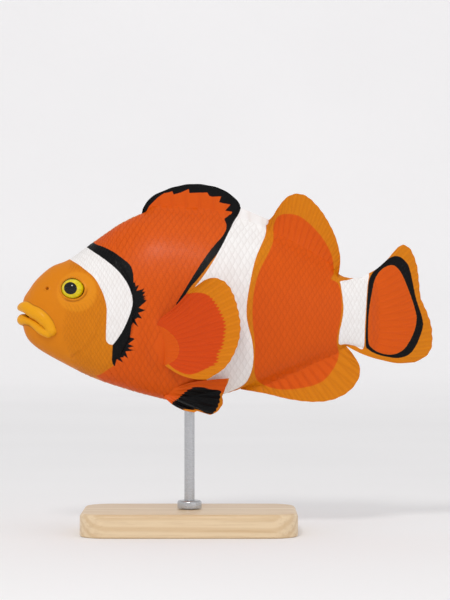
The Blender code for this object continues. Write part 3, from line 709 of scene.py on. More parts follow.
PLATE_CELLS, FINE_PLATE_CELLS = 5, 12  # cells along and across a scale; more where a marking is finely drawn
SCALE_THICKNESS, SCALE_SUNK = 0.045, 0.04
TRUNK_PITCH, HEAD_PITCH = 1.32, 0.9  # from scale to scale along the body
TRUNK_REACH, HEAD_REACH = (-27.0, 33.4), (-37.0, -17.0)  # x of the first and the last scales
SCALE_LENGTH, SCALE_HALF_WIDTH, ROWS_APART = 1.9, 1.14, 1.9  # in pitches
SIZE_SPREAD, LEAN_SPREAD, LIFT_SPREAD = (0.95, 1.05), 0.035, (0.9, 1.1)
PATCH_LENGTH, PATCH_HALF_WIDTH, PATCH_STEP = 0.003, 0.0015, 0.00001  # a scale's place on OFBake
COAT_SEED = 41


class Surface:
    """The skin's grid, read between its points. Places are in rings and in shares of the way round."""

    def __init__(self, grid):
        self.grid = grid
        self.rings, self.columns = grid.shape[:2]
        self.ahead = np.gradient(grid, axis=0)
        self.beside = (np.roll(grid, -1, axis=1) - np.roll(grid, 1, axis=1)) / 2
        up = unit(np.cross(self.ahead, self.beside))
        middle = grid.mean(1, keepdims=True)
        self.up = up * np.sign(((grid - middle) * up).sum(-1, keepdims=True))
        self.girth = np.linalg.norm(self.beside, axis=-1).sum(1)
        side = grid[:, (self.columns * 3) // 4]
        self.side_x = side[:, 0]
        # Along the body only x and height count as length, so that a fold in the flank adds none.
        self.way = np.concatenate([[0], np.cumsum(np.linalg.norm(np.diff(side[:, ::2], axis=0), axis=1))])

    def ring_at(self, x):
        return np.interp(x, self.side_x, np.arange(self.rings))

    def ring_after(self, ring, share, distance):
        """The ring that lies a distance further back than the point at a ring and share."""
        every = np.arange(self.rings)
        step = np.linalg.norm(self.read(self.ahead, ring, share)[..., ::2], axis=-1)
        stretch = step / np.interp(ring, every, np.gradient(self.way))
        return np.interp(np.interp(ring, every, self.way) + distance / stretch, self.way, every)

    def read(self, values, ring, share):
        ring = np.clip(ring, 0, self.rings - 1.001)
        column = ((share - 0.5) % 1) * self.columns
        r, c = ring.astype(int), column.astype(int) % self.columns
        tr, tc = (ring - r)[..., None], (column - np.floor(column))[..., None]
        after = (c + 1) % self.columns
        near = values[r, c] * (1 - tc) + values[r, after] * tc
        far = values[r + 1, c] * (1 - tc) + values[r + 1, after] * tc
        return near * (1 - tr) + far * tr


def scale_places(surface, start, end, pitch_at, left):
    """Ring, share of the way round and size of each scale on one side, in rows along the body."""
    places = []
    x, step = start, 0
    while x < end:
        pitch = pitch_at(x)
        ring = surface.ring_at(x)
        girth = np.interp(ring, np.arange(surface.rings), surface.girth)
        rows = np.arange(-30, 31) + (0.5 if step % 2 else 0.0)
        share = 0.25 + rows * ROWS_APART * pitch / girth
        share = share[(share > 0.004) & (share < 0.496)]
        places += [(ring, s if left else 1 - s, pitch) for s in share]
        x += pitch / 2
        step += 1
    return np.array(places)


def plate(cells):
    """A scale's own points, from its root to its rear edge: along, across and height as shares."""
    along, across = np.meshgrid(np.linspace(0, 1, cells + 1), np.linspace(-1, 1, cells + 1), indexing="ij")
    length = -0.42 + along * (1 - 0.3 * across**2)
    width = across * (0.66 + 0.34 * np.sin(np.minimum(along * 1.5, 1) * math.pi / 2))
    height = -0.07 + 0.165 * along**0.9 - 0.035 * across**2
    thickness = SCALE_THICKNESS * (1 - 0.4 * along)
    return (a.ravel() for a in (length, width, height, thickness, along, across))


def plate_points(surface, places, random, shape, proud):
    """The top and then the underside of each plate, leaning back along the body."""
    length, width, height, thickness = shape
    count = len(places)
    ring, share, pitch = (places[:, i, None] for i in range(3))
    size = pitch * random.uniform(*SIZE_SPREAD, (count, 1))
    lean = random.normal(0, LEAN_SPREAD, (count, 1))
    a, b = SCALE_LENGTH * size * length, SCALE_HALF_WIDTH * size * width
    a, b = a * np.cos(lean) - b * np.sin(lean), a * np.sin(lean) + b * np.cos(lean)
    beside = np.linalg.norm(surface.read(surface.beside, ring[:, 0], share[:, 0]), axis=1)[:, None]
    rings, shares = surface.ring_after(ring, share, a), share + b / beside / surface.columns
    base, up = surface.read(surface.grid, rings, shares), unit(surface.read(surface.up, rings, shares))
    proud = np.broadcast_to(proud, count)[:, None]
    lift = height * (0.55 + 0.45 * pitch / TRUNK_PITCH) * random.uniform(*LIFT_SPREAD, (count, 1))
    lift = (lift * proud - SCALE_SUNK * (1 - proud))[..., None]
    return np.concatenate([base + up * lift, base + up * (lift - thickness[None, :, None])], axis=1)


def plate_patches(surface, places, along, across):
    """Each scale's points on OFBake: a small patch at its root's place on the skin's unwrap."""
    ring, share = places[:, 0], places[:, 1, None]
    root_u = np.interp(ring, np.arange(surface.rings), unwrap_along(surface))[:, None]
    root_v = UNWRAP_START + UNWRAP_REACH * ((share - 0.5) % 1)
    patch = np.stack([root_u + PATCH_LENGTH * (along - 0.5), root_v + PATCH_HALF_WIDTH * across], axis=-1)
    return np.concatenate([patch, patch + PATCH_STEP], axis=1).reshape(-1, 2)


def build_scales(name, look, surface, places, random, cells=PLATE_CELLS, proud=1.0):
    """A joined mesh of closed plates, thin and overlapping.

    proud is how far each stands out: fully at 1, and not at all at 0, where it lies under the skin.
    """
    *shape, along, across = plate(cells)
    flat = plate_points(surface, places, random, shape, proud).reshape(-1, 3)
    count, plate_size = len(places), 2 * (cells + 1) ** 2
    one = slab_faces(cells + 1, cells + 1)[2]
    faces = (one[None] + (np.arange(count) * plate_size)[:, None, None]).reshape(-1, 4)
    patch = plate_patches(surface, places, along, across)

    values = body_marks(flat[:, [0, 2]])
    values["fold_and_shade"] = np.zeros(len(flat))
    values["edge"] = np.tile(np.concatenate([along, along]), count)
    values["beside"] = np.tile(np.concatenate([across, across]), count)
    values["tint"] = np.repeat(random.uniform(-1, 1, count), plate_size)
    return mesh_piece(name, placed(flat), faces.tolist(), look, values, patch[faces.ravel()], sharp=50)


def trunk_pitch(x):
    """Scales on the trunk are largest behind the gill cover and shrink towards the tail."""
    return TRUNK_PITCH * (1 - 0.28 * smoothstep(8, 30, x))


def head_pitch(x):
    """Scales on the head shrink towards the snout."""
    return HEAD_PITCH * (0.85 + 0.15 * smoothstep(-34, -24, x))


def finely_drawn(points):
    """Where a marking is finer than a scale: the black spikes, the black wedge and the tail's bar."""
    spikes = distance_to(points, HEAD_EDGE_SPIKES) < 1.7
    wedge = distance_to(points, np.vstack([WEDGE_FRONT, WEDGE_REAR])) < 1.2
    return spikes | wedge | (distance_to(points, TAIL_STALK_BAR) < 1.0)


def gill_slit(points):
    """How far behind the gill cover's edge each point lies, and how open the bare slit is beside it."""
    behind = points[:, 0] - x_of(GILL_EDGE, points[:, 2])
    return behind, smoothstep(10.4, 7.6, points[:, 2])


def build_coat(look, surface):
    """The scales of both sides: on the trunk, on its finely drawn parts, and on the head."""
    random = np.random.default_rng(COAT_SEED)
    made = []
    for side, left in (("left", True), ("right", False)):
        places = scale_places(surface, *TRUNK_REACH, trunk_pitch, left)
        at = surface.read(surface.grid, places[:, 0], places[:, 1])
        pectoral = from_middle(at[:, [0, 2]], *PECTORAL_BARE)
        behind, slit = gill_slit(at)
        keep = (behind > 1.95 * slit - 1.2) & (pectoral > 1)
        fine = finely_drawn(at[:, [0, 2]])
        for part, chosen, cells in (("fine", fine, FINE_PLATE_CELLS), ("body", ~fine, PLATE_CELLS)):
            name = f"scales_{part}_{side}"
            made.append(build_scales(name, look, surface, places[keep & chosen], random, cells))

        places = scale_places(surface, *HEAD_REACH, head_pitch, left)
        at = surface.read(surface.grid, places[:, 0], places[:, 1])
        behind, slit = gill_slit(at)
        keep = (behind < -0.5 * slit) & (around_eye(at) > 1.75)
        within = inside_by(at[:, [0, 2]], HEAD_SCALES)
        keep &= within > 0.3
        proud = smoothstep(0.1, 1.9, within) * smoothstep(1.6, 2.3, around_eye(at)) * 0.85 + 0.15
        name = f"scales_head_{side}"
        made.append(build_scales(name, look, surface, places[keep], random, proud=proud[keep]))
    return made


# ---------------------------------------------------------------- fins

COLUMNS_PER_RAY = 12
SCALLOP = 0.008  # how far the margin draws in between rays, as a share of their length
MEMBRANE = 0.07  # half the thickness of a fin between its rays
TAIL_CURL, TAIL_CURL_START, TAIL_CURL_LENGTH = 0.8, 33.0, 11.0  # from where the flesh ends
SIDE_SIZE, NEAR_SIDE, FAR_SIDE = (0.47, 0.94), (0.015, 0.03), (0.515, 0.03)  # a fin's two sides on OFBake
RIM_SIZE = (0.01, 0.02)


def fin_grid(sides, across, along, phase):
    """(x, height) points between a fin's four sides, across and along its rays, its margin scalloped."""
    root, margin, first_edge, last_edge = sides
    u = np.linspace(0, 1, across + 1)[:, None]
    t = np.linspace(0, 1, along + 1)[None, :] * np.ones_like(u)
    t = t * (1 - SCALLOP * (1 + np.cos(2 * math.pi * phase)) / 2 * t**3)
    low, high = evenly(root, across + 1)[:, None, :], evenly(margin, across + 1)[:, None, :]

    def edge(line):
        fine = evenly(line, 200)
        return np.stack([np.interp(t, np.linspace(0, 1, 200), fine[:, i]) for i in range(2)], axis=-1)

    left, right = edge(first_edge), edge(last_edge)
    u, t = u[..., None], t[..., None]
    corners = (1 - u) * (1 - t) * low[:1] + u * (1 - t) * low[-1:]
    corners = corners + (1 - u) * t * high[:1] + u * t * high[-1:]
    return (1 - t) * low + t * high + (1 - u) * left + u * right - corners


def ray_pattern(across, along, rays, spines):
    """How strongly each point of a fin lies on a ray, its place across the rays, and where they are soft.

    Spines stay single, and soft rays branch.
    """
    u = np.linspace(0, rays, across + 1)[:, None]
    t = np.linspace(0, 1, along + 1)[None, :]
    phase = u % 1 - 0.5
    soft = np.minimum(np.floor(u), rays - 1) >= spines
    apart = 0.23 * smoothstep(0.35, 0.85, t) * soft
    once = np.minimum(np.abs(phase - apart), np.abs(phase + apart))
    return hump(once, 0.13), u * np.ones_like(t), soft * np.ones_like(t)


def fin_unwrap(sheet, rim, rows, columns):
    """A fin's two sides beside each other on OFBake, and a narrow strip round the first for its rim."""
    u, v = np.meshgrid(np.linspace(0, 1, rows), np.linspace(0, 1, columns), indexing="ij")
    one = np.column_stack([u.ravel(), v.ravel()])
    near, far = one * SIDE_SIZE + NEAR_SIDE, one * SIDE_SIZE + FAR_SIDE
    beyond = near + (one - 0.5) * RIM_SIZE
    after = np.roll(rim, -1)
    strip = np.stack([near[rim], near[after], beyond[after], beyond[rim]], axis=1).reshape(-1, 2)
    return np.vstack([near[sheet.ravel()], far[sheet[:, ::-1].ravel()], strip])


def build_fin(name, look, sides, sideways, marks, rays, spines=0, steps=30, root=1.25, fleshy=0.2):
    """A closed fin of thin membrane over rays.

    sideways gives y from the grid and the share along the rays. root is the fleshy root's thickness, and
    fleshy its length as a share of the rays.
    """
    across = rays * COLUMNS_PER_RAY
    ray, phase, soft = ray_pattern(across, steps, rays, spines)
    grid = fin_grid(sides, across, steps, phase[:, :1])
    share = np.linspace(0, 1, steps + 1)[None, :] * np.ones_like(phase)
    pleat = 0.1 * np.sin(2 * math.pi * phase) * share**1.5
    middle = sideways(grid, share) + pleat
    ray *= smoothstep(0.0, 1.6 * fleshy, share)
    thick_ray = 0.22 if spines else 0.15
    half = MEMBRANE + thick_ray * ray * (1 - 0.72 * share) + (root / 2 - MEMBRANE) * hump(share, fleshy)
    half *= 1 - 0.45 * smoothstep(0.93, 1.0, share)

    x, z = grid[..., 0], grid[..., 1]
    points = np.vstack([np.dstack([x, middle + side * half, z]).reshape(-1, 3) for side in (-1, 1)])
    sheet, rim, faces = slab_faces(across + 1, steps + 1)
    corners = fin_unwrap(sheet, rim, across + 1, steps + 1)
    values = marks(grid.reshape(-1, 2), phase.ravel())
    values["ray"], values["jointed"] = ray.ravel(), (share * soft).ravel()
    values["fold_and_shade"] = np.zeros(x.size)
    values = {key: np.tile(numbers, 2) for key, numbers in values.items()}
    return mesh_piece(name, placed(points), faces.tolist(), look, values, corners, sharp=60)


def on_profile(root, height_at, sunk):
    """A fin's root from one x to the other, sunk below the back or the belly."""
    x = np.linspace(root[0], root[1], 7)
    return np.column_stack([x, height_at(x) + sunk])


def leaning(lean):
    """The fin leans to one side, more towards its margin."""
    return lambda grid, share: lean * share**1.6


def curling(grid, _):
    """The tail fin curls a little further than the body's swing, from where the flesh ends."""
    return TAIL_CURL * np.clip((grid[..., 0] - TAIL_CURL_START) / TAIL_CURL_LENGTH, 0, 1) ** 2


def spreading(hand, sunk, spread):
    """The fin stands off the flank, from sunk below it at its root to spread at its margin."""
    def sideways(grid, share):
        stand_off = -sunk + (spread + sunk) * (1.35 * share - 0.35 * share**2)
        return hand * (flank(grid[..., 0], grid[..., 1]) + stand_off)

    return sideways


def build_fins(look):
    """All fins. Those on the mid-plane carry the body's markings."""

    def body(points, _):
        return body_marks(points)

    made = []
    for node, root, margin, height_at, sunk, lean, rays, spines in (
        ("dorsal_fin_spiny", SPINY_DORSAL_ROOT, SPINY_DORSAL_MARGIN, back_at, -ROOT_SUNK, -0.6, 10, 10),
        ("dorsal_fin_soft", SOFT_DORSAL_ROOT, SOFT_DORSAL_MARGIN, back_at, -ROOT_SUNK, -1.4, 16, 0),
        ("anal_fin", ANAL_ROOT, ANAL_MARGIN, belly_at, ROOT_SUNK, -1.0, 14, 2),
    ):
        line = on_profile(root, height_at, sunk)
        sides = (line, margin, (line[0], margin[0]), (line[-1], margin[-1]))
        fin = build_fin("web_" + node, look, sides, leaning(lean), body, rays, spines)
        made.append(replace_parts(fin, node))

    sides = (TAIL_ROOT, TAIL_MARGIN, TAIL_UPPER_EDGE, TAIL_LOWER_EDGE)
    tail = build_fin("web_tail_fin", look, sides, curling, body, 15, steps=44, fleshy=0.34)
    made.append(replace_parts(tail, "tail_fin"))
    pectoral = (PECTORAL_ROOT, PECTORAL_MARGIN, PECTORAL_UPPER_EDGE, PECTORAL_LOWER_EDGE)
    pelvic = (PELVIC_ROOT, PELVIC_MARGIN, PELVIC_OUTER_EDGE, PELVIC_INNER_EDGE)
    for side, hand in (("left", -1), ("right", 1)):
        node = "pectoral_fin_" + side
        spread = spreading(hand, 0.9, 8.2)
        fin = build_fin("web_" + node, look, pectoral, spread, pectoral_marks, 16, steps=44,
                        root=1.7, fleshy=0.24)
        made.append(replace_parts(fin, node))
        node = "pelvic_fin_" + side
        fin = build_fin("web_" + node, look, pelvic, spreading(hand, 0.9, 2.6), pelvic_marks, 6, 1)
        made.append(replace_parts(fin, node))
    return made


# ---------------------------------------------------------------- eyes

EYE_COLUMNS = 144
IRIS_SPOKES = ((7, 0.25), (13, 0.2), (23, 0.3), (41, 0.3), (67, 0.25))  # how many round the iris, how strong


def build_eye(side, hand, look):
    """A flattened eyeball, its front a low dome. Its marks are the iris's and the pupil's rings."""
    tilts = np.concatenate([np.linspace(0, 1.25, 50)[1:], np.linspace(1.25, math.pi, 22)[1:-1]])[:, None]
    around = (np.arange(EYE_COLUMNS) * 2 * math.pi / EYE_COLUMNS)[None, :]
    x = EYE_X + EYEBALL[0] * np.sin(tilts) * np.cos(around)
    z = EYE_HEIGHT + EYEBALL[2] * np.sin(tilts) * np.sin(around)
    from_front = np.hypot(x - PUPIL_MIDDLE[0], z - PUPIL_MIDDLE[1])
    dome = 0.08 * hump(from_front, 1.5) * (tilts < math.pi / 2)
    middle = flank(EYE_X, EYE_HEIGHT) - EYE_SUNK
    out = middle + EYEBALL[1] * np.cos(tilts) + dome
    rings = np.stack([x, hand * out, z], axis=-1)
    points = np.vstack([rings.reshape(-1, 3), rings[0].mean(0), rings[-1].mean(0)])
    from_pupil = (points[:, [0, 2]] - PUPIL_MIDDLE) / PUPIL_SIZE
    turn = np.arctan2(from_pupil[:, 1], from_pupil[:, 0])
    values = {
        "iris": around_eye(points) + 2.0 * (points[:, 1] * hand < middle),
        "pupil": np.hypot(*from_pupil.T) + 0.03 * np.cos(2 * turn - 1.0),
        "spokes": sum(np.cos(n * turn + n * n) * strength for n, strength in IRIS_SPOKES),
    }
    faces = shell_faces(len(tilts), EYE_COLUMNS)
    eyeball = mesh_piece("eyeball_" + side, placed(points), faces, look, values)
    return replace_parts(eyeball, "eye_" + side)


# ---------------------------------------------------------------- the stand


CIRCLE_CORNERS = 72
BASE_CORNER, BASE_BEVEL, BASE_LOWER_BEVEL = 0.006, 0.0009, 0.00045  # in metres, as are the next three
COLLAR_PLAY, COLLAR_ROUNDING, COLLAR_INNER_BEVEL = 0.00012, 0.0005, 0.0002


def circle(middle, radius, height):
    around = np.arange(CIRCLE_CORNERS) * 2 * math.pi / CIRCLE_CORNERS
    x, y = middle.x + radius * np.cos(around), middle.y + radius * np.sin(around)
    return np.column_stack([x, y, np.full(CIRCLE_CORNERS, height)])


def upright(node):
    """The middle and radius of a round upright solid's box, and the box's corners."""
    low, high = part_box(node)
    return (low + high) / 2, (high.x - low.x) / 2, low, high


def rounded_rectangle(middle, half, corner, inset, height):
    """Points round a rectangle with round corners, all moved in by inset."""
    points = []
    for quarter, (across, deep) in enumerate(((1, 1), (-1, 1), (-1, -1), (1, -1))):
        for turn in np.radians(90 * quarter + np.linspace(0, 90, 13)):
            reach = corner - inset
            points.append((middle.x + across * (half.x - corner) + reach * math.cos(turn),
                           middle.y + deep * (half.y - corner) + reach * math.sin(turn), height))
    return np.array(points)


def solid_of_rings(name, rings, look, node, capped=True):
    """A solid of rings of points, with its two ends capped, or joined to each other round a bore."""
    columns, points = len(rings[0]), np.vstack(rings)
    if capped:
        faces = quads(len(rings), columns, wrap=True).tolist()
        faces += [tuple(range(columns)), tuple(range(len(points) - 1, len(points) - columns - 1, -1))]
    else:
        faces = (quads(len(rings) + 1, columns, wrap=True) % len(points)).tolist()
    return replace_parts(mesh_piece(name, points, faces, look, sharp=35), node)


def build_base(look):
    """A flat board with round corners, its upper edge bevelled more than its lower one."""
    low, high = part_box("stand_base")
    middle, half = (low + high) / 2, (high - low) / 2
    bends = np.radians(np.linspace(0, 90, 6))
    under, upper = BASE_LOWER_BEVEL, BASE_BEVEL
    profile = [(under * (1 - math.sin(b)), low.z + under * (1 - math.cos(b))) for b in bends]
    profile += [(upper * (1 - math.cos(b)), high.z - upper * (1 - math.sin(b))) for b in bends]
    rings = [rounded_rectangle(middle, half, BASE_CORNER, inset, height) for inset, height in profile]
    return solid_of_rings("base", rings, look, "stand_base")


def build_rod(look):
    middle, radius, low, high = upright("stand_rod")
    rings = [circle(middle, radius, height) for height in (low.z, high.z)]
    return solid_of_rings("rod", rings, look, "stand_rod")


def build_collar(look):
    """A round collar with a rounded upper edge, bored for the rod."""
    middle, radius, low, high = upright("stand_collar")
    bore = upright("stand_rod")[1] + COLLAR_PLAY
    bends = np.radians(np.linspace(0, 90, 7))
    rounding = COLLAR_ROUNDING
    profile = [(bore, low.z), (radius, low.z)]
    profile += [(radius - rounding * (1 - math.cos(b)), high.z - rounding * (1 - math.sin(b))) for b in bends]
    profile += [(bore + COLLAR_INNER_BEVEL, high.z), (bore, high.z - COLLAR_INNER_BEVEL)]
    rings = [circle(middle, reach, height) for reach, height in profile]
    return solid_of_rings("collar", rings, look, "stand_collar", capped=False)


# ---------------------------------------------------------------- materials


def colour(red, green, blue):
    """Red, green and blue out of 255, as the shader's linear colour."""
    parts = np.array((red, green, blue)) / 255
    linear = np.where(parts <= 0.04045, parts / 12.92, ((parts + 0.055) / 1.055) ** 2.4)
    return (*linear.tolist(), 1.0)


def node(tree, kind, inputs=None, **settings):
    """A shader node, with its settings, and its inputs linked or set."""
    made = tree.nodes.new("ShaderNode" + kind)
    for name, value in settings.items():
        setattr(made, name, value)
    for key, value in (inputs or {}).items():
        if isinstance(value, bpy.types.NodeSocket):
            tree.links.new(value, made.inputs[key])
        else:
            made.inputs[key].default_value = value
    return made


def maths(tree, operation, *values):
    return node(tree, "Math", dict(enumerate(values)), operation=operation).outputs[0]


def mark(tree, name):
    return node(tree, "Attribute", attribute_name=name).outputs["Fac"]


def ramp(tree, value, low, high, to_low=0.0, to_high=1.0):
    """value from low to high, eased, as to_low to to_high."""
    keys = {"Value": value, "From Min": low, "From Max": high, "To Min": to_low, "To Max": to_high}
    return node(tree, "MapRange", keys, interpolation_type="SMOOTHSTEP").outputs[0]


def mixed(tree, share, first, second, blend="MIX"):
    """Two colours mixed. Sockets 0, 6 and 7 of a colour Mix are its share and its two colours."""
    made = node(tree, "Mix", data_type="RGBA", blend_type=blend)
    for key, value in ((0, share), (6, first), (7, second)):
        if isinstance(value, bpy.types.NodeSocket):
            tree.links.new(value, made.inputs[key])
        else:
            made.inputs[key].default_value = value
    return made.outputs[2]


def darkened(tree, share, base, shade):
    """base, with a share of it multiplied by a darker colour: for tone, and for painted shade in the creases.
    """
    return mixed(tree, share, base, mixed(tree, 1.0, base, (*shade, 1), "MULTIPLY"))


def noise(tree, scale, detail=2.0, roughness=0.5, stretch=None):
    """Noise over the object's own place, in metres, so that a scale of 1000 has features of a millimetre."""
    vector = node(tree, "TexCoord").outputs["Object"]
    if stretch:
        vector = node(tree, "Mapping", {"Vector": vector, "Scale": stretch}).outputs[0]
    keys = {"Vector": vector, "Scale": scale, "Detail": detail, "Roughness": roughness}
    return node(tree, "TexNoise", keys).outputs["Fac"]


def fish_paint():
    """The markings' colours, painted one over another where each mark is above 0. The mouth's mark is painted
    shade inside the mouth, and painted shade then darkens the creases.
    """
    tree = bpy.data.node_groups.new("fish_paint", "ShaderNodeTree")
    tree.interface.new_socket("Color", in_out="OUTPUT", socket_type="NodeSocketColor")
    ragged = maths(tree, "MULTIPLY_ADD", noise(tree, 2600, 3), 0.14, -0.07)
    paint = colour(*OCHRE)
    for name, shade, softness, strength in (
        ("cheek", CHEEK_GOLD, 0.35, 0.85), ("deep", DEEP_ORANGE, 0.14, 1.0), ("red", RED_ORANGE, 0.12, 1.0),
        ("lips", LIP_GOLD, 0.25, 1.0), ("black", BLACK, 0.07, 1.0), ("white", WHITE, 0.06, 1.0),
        ("mouth", MOUTH_SHADE_BROWN, 0.4, 1.0),
    ):
        wavy = maths(tree, "ADD", mark(tree, name), ragged)
        paint = mixed(tree, ramp(tree, wavy, -softness, softness, 0.0, strength), paint, colour(*shade))
    mottled = ramp(tree, noise(tree, 420, 4, 0.6), 0.3, 0.7, 0.0, 0.14)
    paint = darkened(tree, mottled, paint, (0.86, 0.8, 0.77))
    # Painted shade, dark brown, in the creases of the skin.
    painted_crease_shade = maths(tree, "MULTIPLY", mark(tree, "fold_and_shade"), 0.62)
    paint = darkened(tree, painted_crease_shade, paint, (0.25, 0.16, 0.12))
    output = tree.nodes.new("NodeGroupOutput")
    tree.links.new(paint, output.inputs[0])
    return tree


def material(name, roughness, metallic=0.0, coat=0.0, coat_roughness=0.1, specular=0.5):
    """A new material, its node tree and its shader."""
    made = bpy.data.materials.new(name)
    made.use_nodes = True
    shader = made.node_tree.nodes["Principled BSDF"]
    for key, value in (
        ("Roughness", roughness), ("Metallic", metallic), ("Coat Weight", coat),
        ("Coat Roughness", coat_roughness), ("Specular IOR Level", specular),
    ):
        shader.inputs[key].default_value = value
    return made, made.node_tree, shader


def painted(tree, paint):
    """The fish's paint in a material's own tree."""
    group = tree.nodes.new("ShaderNodeGroup")
    group.node_tree = paint
    return group.outputs[0]


def bumped(tree, shader, height, depth):
    """depth is the height's full range in metres."""
    made = node(tree, "Bump", {"Height": height, "Distance": depth, "Strength": 1.0})
    tree.links.new(made.outputs[0], shader.inputs["Normal"])


def skin_material(paint):
    """Smooth slimy skin with a fine grain and small pits."""
    made, tree, shader = material("fish_skin", 0.42, coat=0.08, coat_roughness=0.22, specular=0.1)
    tree.links.new(painted(tree, paint), shader.inputs["Base Color"])
    grain = noise(tree, 5200, 3, 0.6)
    place = node(tree, "TexCoord").outputs["Object"]
    pits = node(tree, "TexVoronoi", {"Vector": place, "Scale": 1500.0}).outputs["Distance"]
    pitted = maths(tree, "ADD", maths(tree, "MULTIPLY", grain, 0.6), ramp(tree, pits, 0.06, 0.22, 0.0, 0.4))
    tree.links.new(ramp(tree, noise(tree, 900, 3), 0.3, 0.7, 0.36, 0.5), shader.inputs["Roughness"])
    bumped(tree, shader, pitted, 0.00003)
    return made


def scale_material(paint):
    """Each scale slightly its own tint, darker along its rear edge, with fine grooves that fan out."""
    made, tree, shader = material("fish_scale", 0.4, coat=0.07, coat_roughness=0.25, specular=0.1)
    base = painted(tree, paint)
    rim = ramp(tree, mark(tree, "edge"), 0.78, 1.0, 0.0, 0.32)
    base = darkened(tree, rim, base, (0.7, 0.66, 0.64))
    tint = ramp(tree, mark(tree, "tint"), -1.0, 1.0, 0.0, 0.2)
    base = darkened(tree, tint, base, (0.86, 0.84, 0.83))
    tree.links.new(base, shader.inputs["Base Color"])
    fan = maths(tree, "SINE", maths(tree, "MULTIPLY", mark(tree, "beside"), 26.0))
    rings = maths(tree, "SINE", maths(tree, "MULTIPLY", mark(tree, "edge"), 42.0))
    height = maths(tree, "ADD", maths(tree, "MULTIPLY", fan, 0.5), maths(tree, "MULTIPLY", rings, 0.25))
    bumped(tree, shader, height, 0.000012)
    tree.links.new(ramp(tree, noise(tree, 1400, 3), 0.3, 0.7, 0.34, 0.48), shader.inputs["Roughness"])
    return made


def fin_material(paint):
    """Thin membrane over jointed rays, which are a little darker than it."""
    made, tree, shader = material("fish_fin", 0.45, coat=0.05, coat_roughness=0.2, specular=0.1)
    base = painted(tree, paint)
    ray = mark(tree, "ray")
    base = darkened(tree, maths(tree, "MULTIPLY", ray, 0.28), base, (0.78, 0.66, 0.6))
    tree.links.new(base, shader.inputs["Base Color"])
    joints = ramp(tree, maths(tree, "SINE", maths(tree, "MULTIPLY", mark(tree, "jointed"), 190.0)), 0.2, 1.0)
    height = maths(tree, "MULTIPLY", joints, ray)
    height = maths(tree, "ADD", height, noise(tree, 3800, 3, 0.6, stretch=(1.0, 1.0, 0.4)))
    bumped(tree, shader, height, 0.00003)
    return made


def eye_material():
    """A yellow iris with fine spokes, a dark rim and a black pupil under a wet cornea."""
    made, tree, shader = material("fish_eye", 0.3, coat=0.62, coat_roughness=0.02, specular=0.05)
    ring = mark(tree, "iris")
    pupil = mark(tree, "pupil")
    streaks = maths(tree, "MULTIPLY_ADD", mark(tree, "spokes"), 0.5, 0.5)
    streaks = maths(tree, "ADD", streaks, maths(tree, "MULTIPLY_ADD", noise(tree, 2600, 4, 0.6), 1.2, -0.6))
    base = mixed(tree, ramp(tree, streaks, 0.0, 1.0), colour(206, 184, 8), colour(226, 210, 18))
    base = mixed(tree, ramp(tree, pupil, 1.0, 1.22, 0.7, 0.0), base, colour(232, 196, 20))
    base = mixed(tree, ramp(tree, ring, 0.86, 0.98, 0.0, 0.75), base, colour(122, 88, 8))
    base = mixed(tree, ramp(tree, ring, 0.95, 1.02), base, colour(44, 26, 10))
    base = mixed(tree, ramp(tree, pupil, 0.97, 1.04, 1.0, 0.0), base, colour(4, 4, 6))
    tree.links.new(base, shader.inputs["Base Color"])
    bumped(tree, shader, maths(tree, "MULTIPLY", streaks, ramp(tree, pupil, 1.0, 1.1)), 0.00002)
    return made


HEARTWOOD, RING_WIDTH = (0.0, 0.009, -0.021), 0.0017  # the tree's middle, and from growth ring to growth ring


def wood_material():
    """Pale maple with its grain along the base, under a satin lacquer."""
    made, tree, shader = material("maple", 0.42, coat=0.15, coat_roughness=0.25)
    grain = noise(tree, 1300, 5, 0.62, stretch=(0.045, 1.0, 1.0))
    bands = noise(tree, 150, 2, 0.5, stretch=(0.06, 1.0, 1.0))
    pores = noise(tree, 5200, 2, 0.5, stretch=(0.05, 1.0, 1.0))
    place = node(tree, "TexCoord").outputs["Object"]
    level = node(tree, "VectorMath", {0: place, 1: (0.03, 1.0, 1.0)}, operation="MULTIPLY").outputs["Vector"]
    from_heart = node(tree, "VectorMath", {0: level, 1: HEARTWOOD}, operation="DISTANCE").outputs["Value"]
    unevenness = maths(tree, "MULTIPLY", bands, 9.0)
    wavy = maths(tree, "MULTIPLY_ADD", from_heart, 2 * math.pi / RING_WIDTH, unevenness)
    rings = ramp(tree, maths(tree, "SINE", wavy), -0.6, 1.0, 0.0, 0.6)
    base = mixed(tree, rings, colour(227, 203, 167), colour(209, 178, 136))
    base = mixed(tree, ramp(tree, grain, 0.45, 0.75, 0.0, 0.4), base, colour(190, 155, 112))
    base = mixed(tree, ramp(tree, pores, 0.6, 0.75, 0.0, 0.15), base, colour(150, 112, 74))
    tree.links.new(base, shader.inputs["Base Color"])
    tree.links.new(ramp(tree, grain, 0.3, 0.7, 0.36, 0.5), shader.inputs["Roughness"])
    bumped(tree, shader, maths(tree, "SUBTRACT", grain, maths(tree, "MULTIPLY", pores, 0.5)), 0.00005)
    return made


def steel_material():
    """Steel brushed round the rod."""
    made, tree, shader = material("brushed_steel", 0.3, metallic=1.0)
    brushed = noise(tree, 9000, 2, 0.5, stretch=(0.05, 0.05, 1.0))
    base = mixed(tree, ramp(tree, brushed, 0.3, 0.7), colour(190, 191, 193), colour(186, 187, 190))
    tree.links.new(base, shader.inputs["Base Color"])
    tree.links.new(ramp(tree, brushed, 0.25, 0.75, 0.25, 0.31), shader.inputs["Roughness"])
    return made


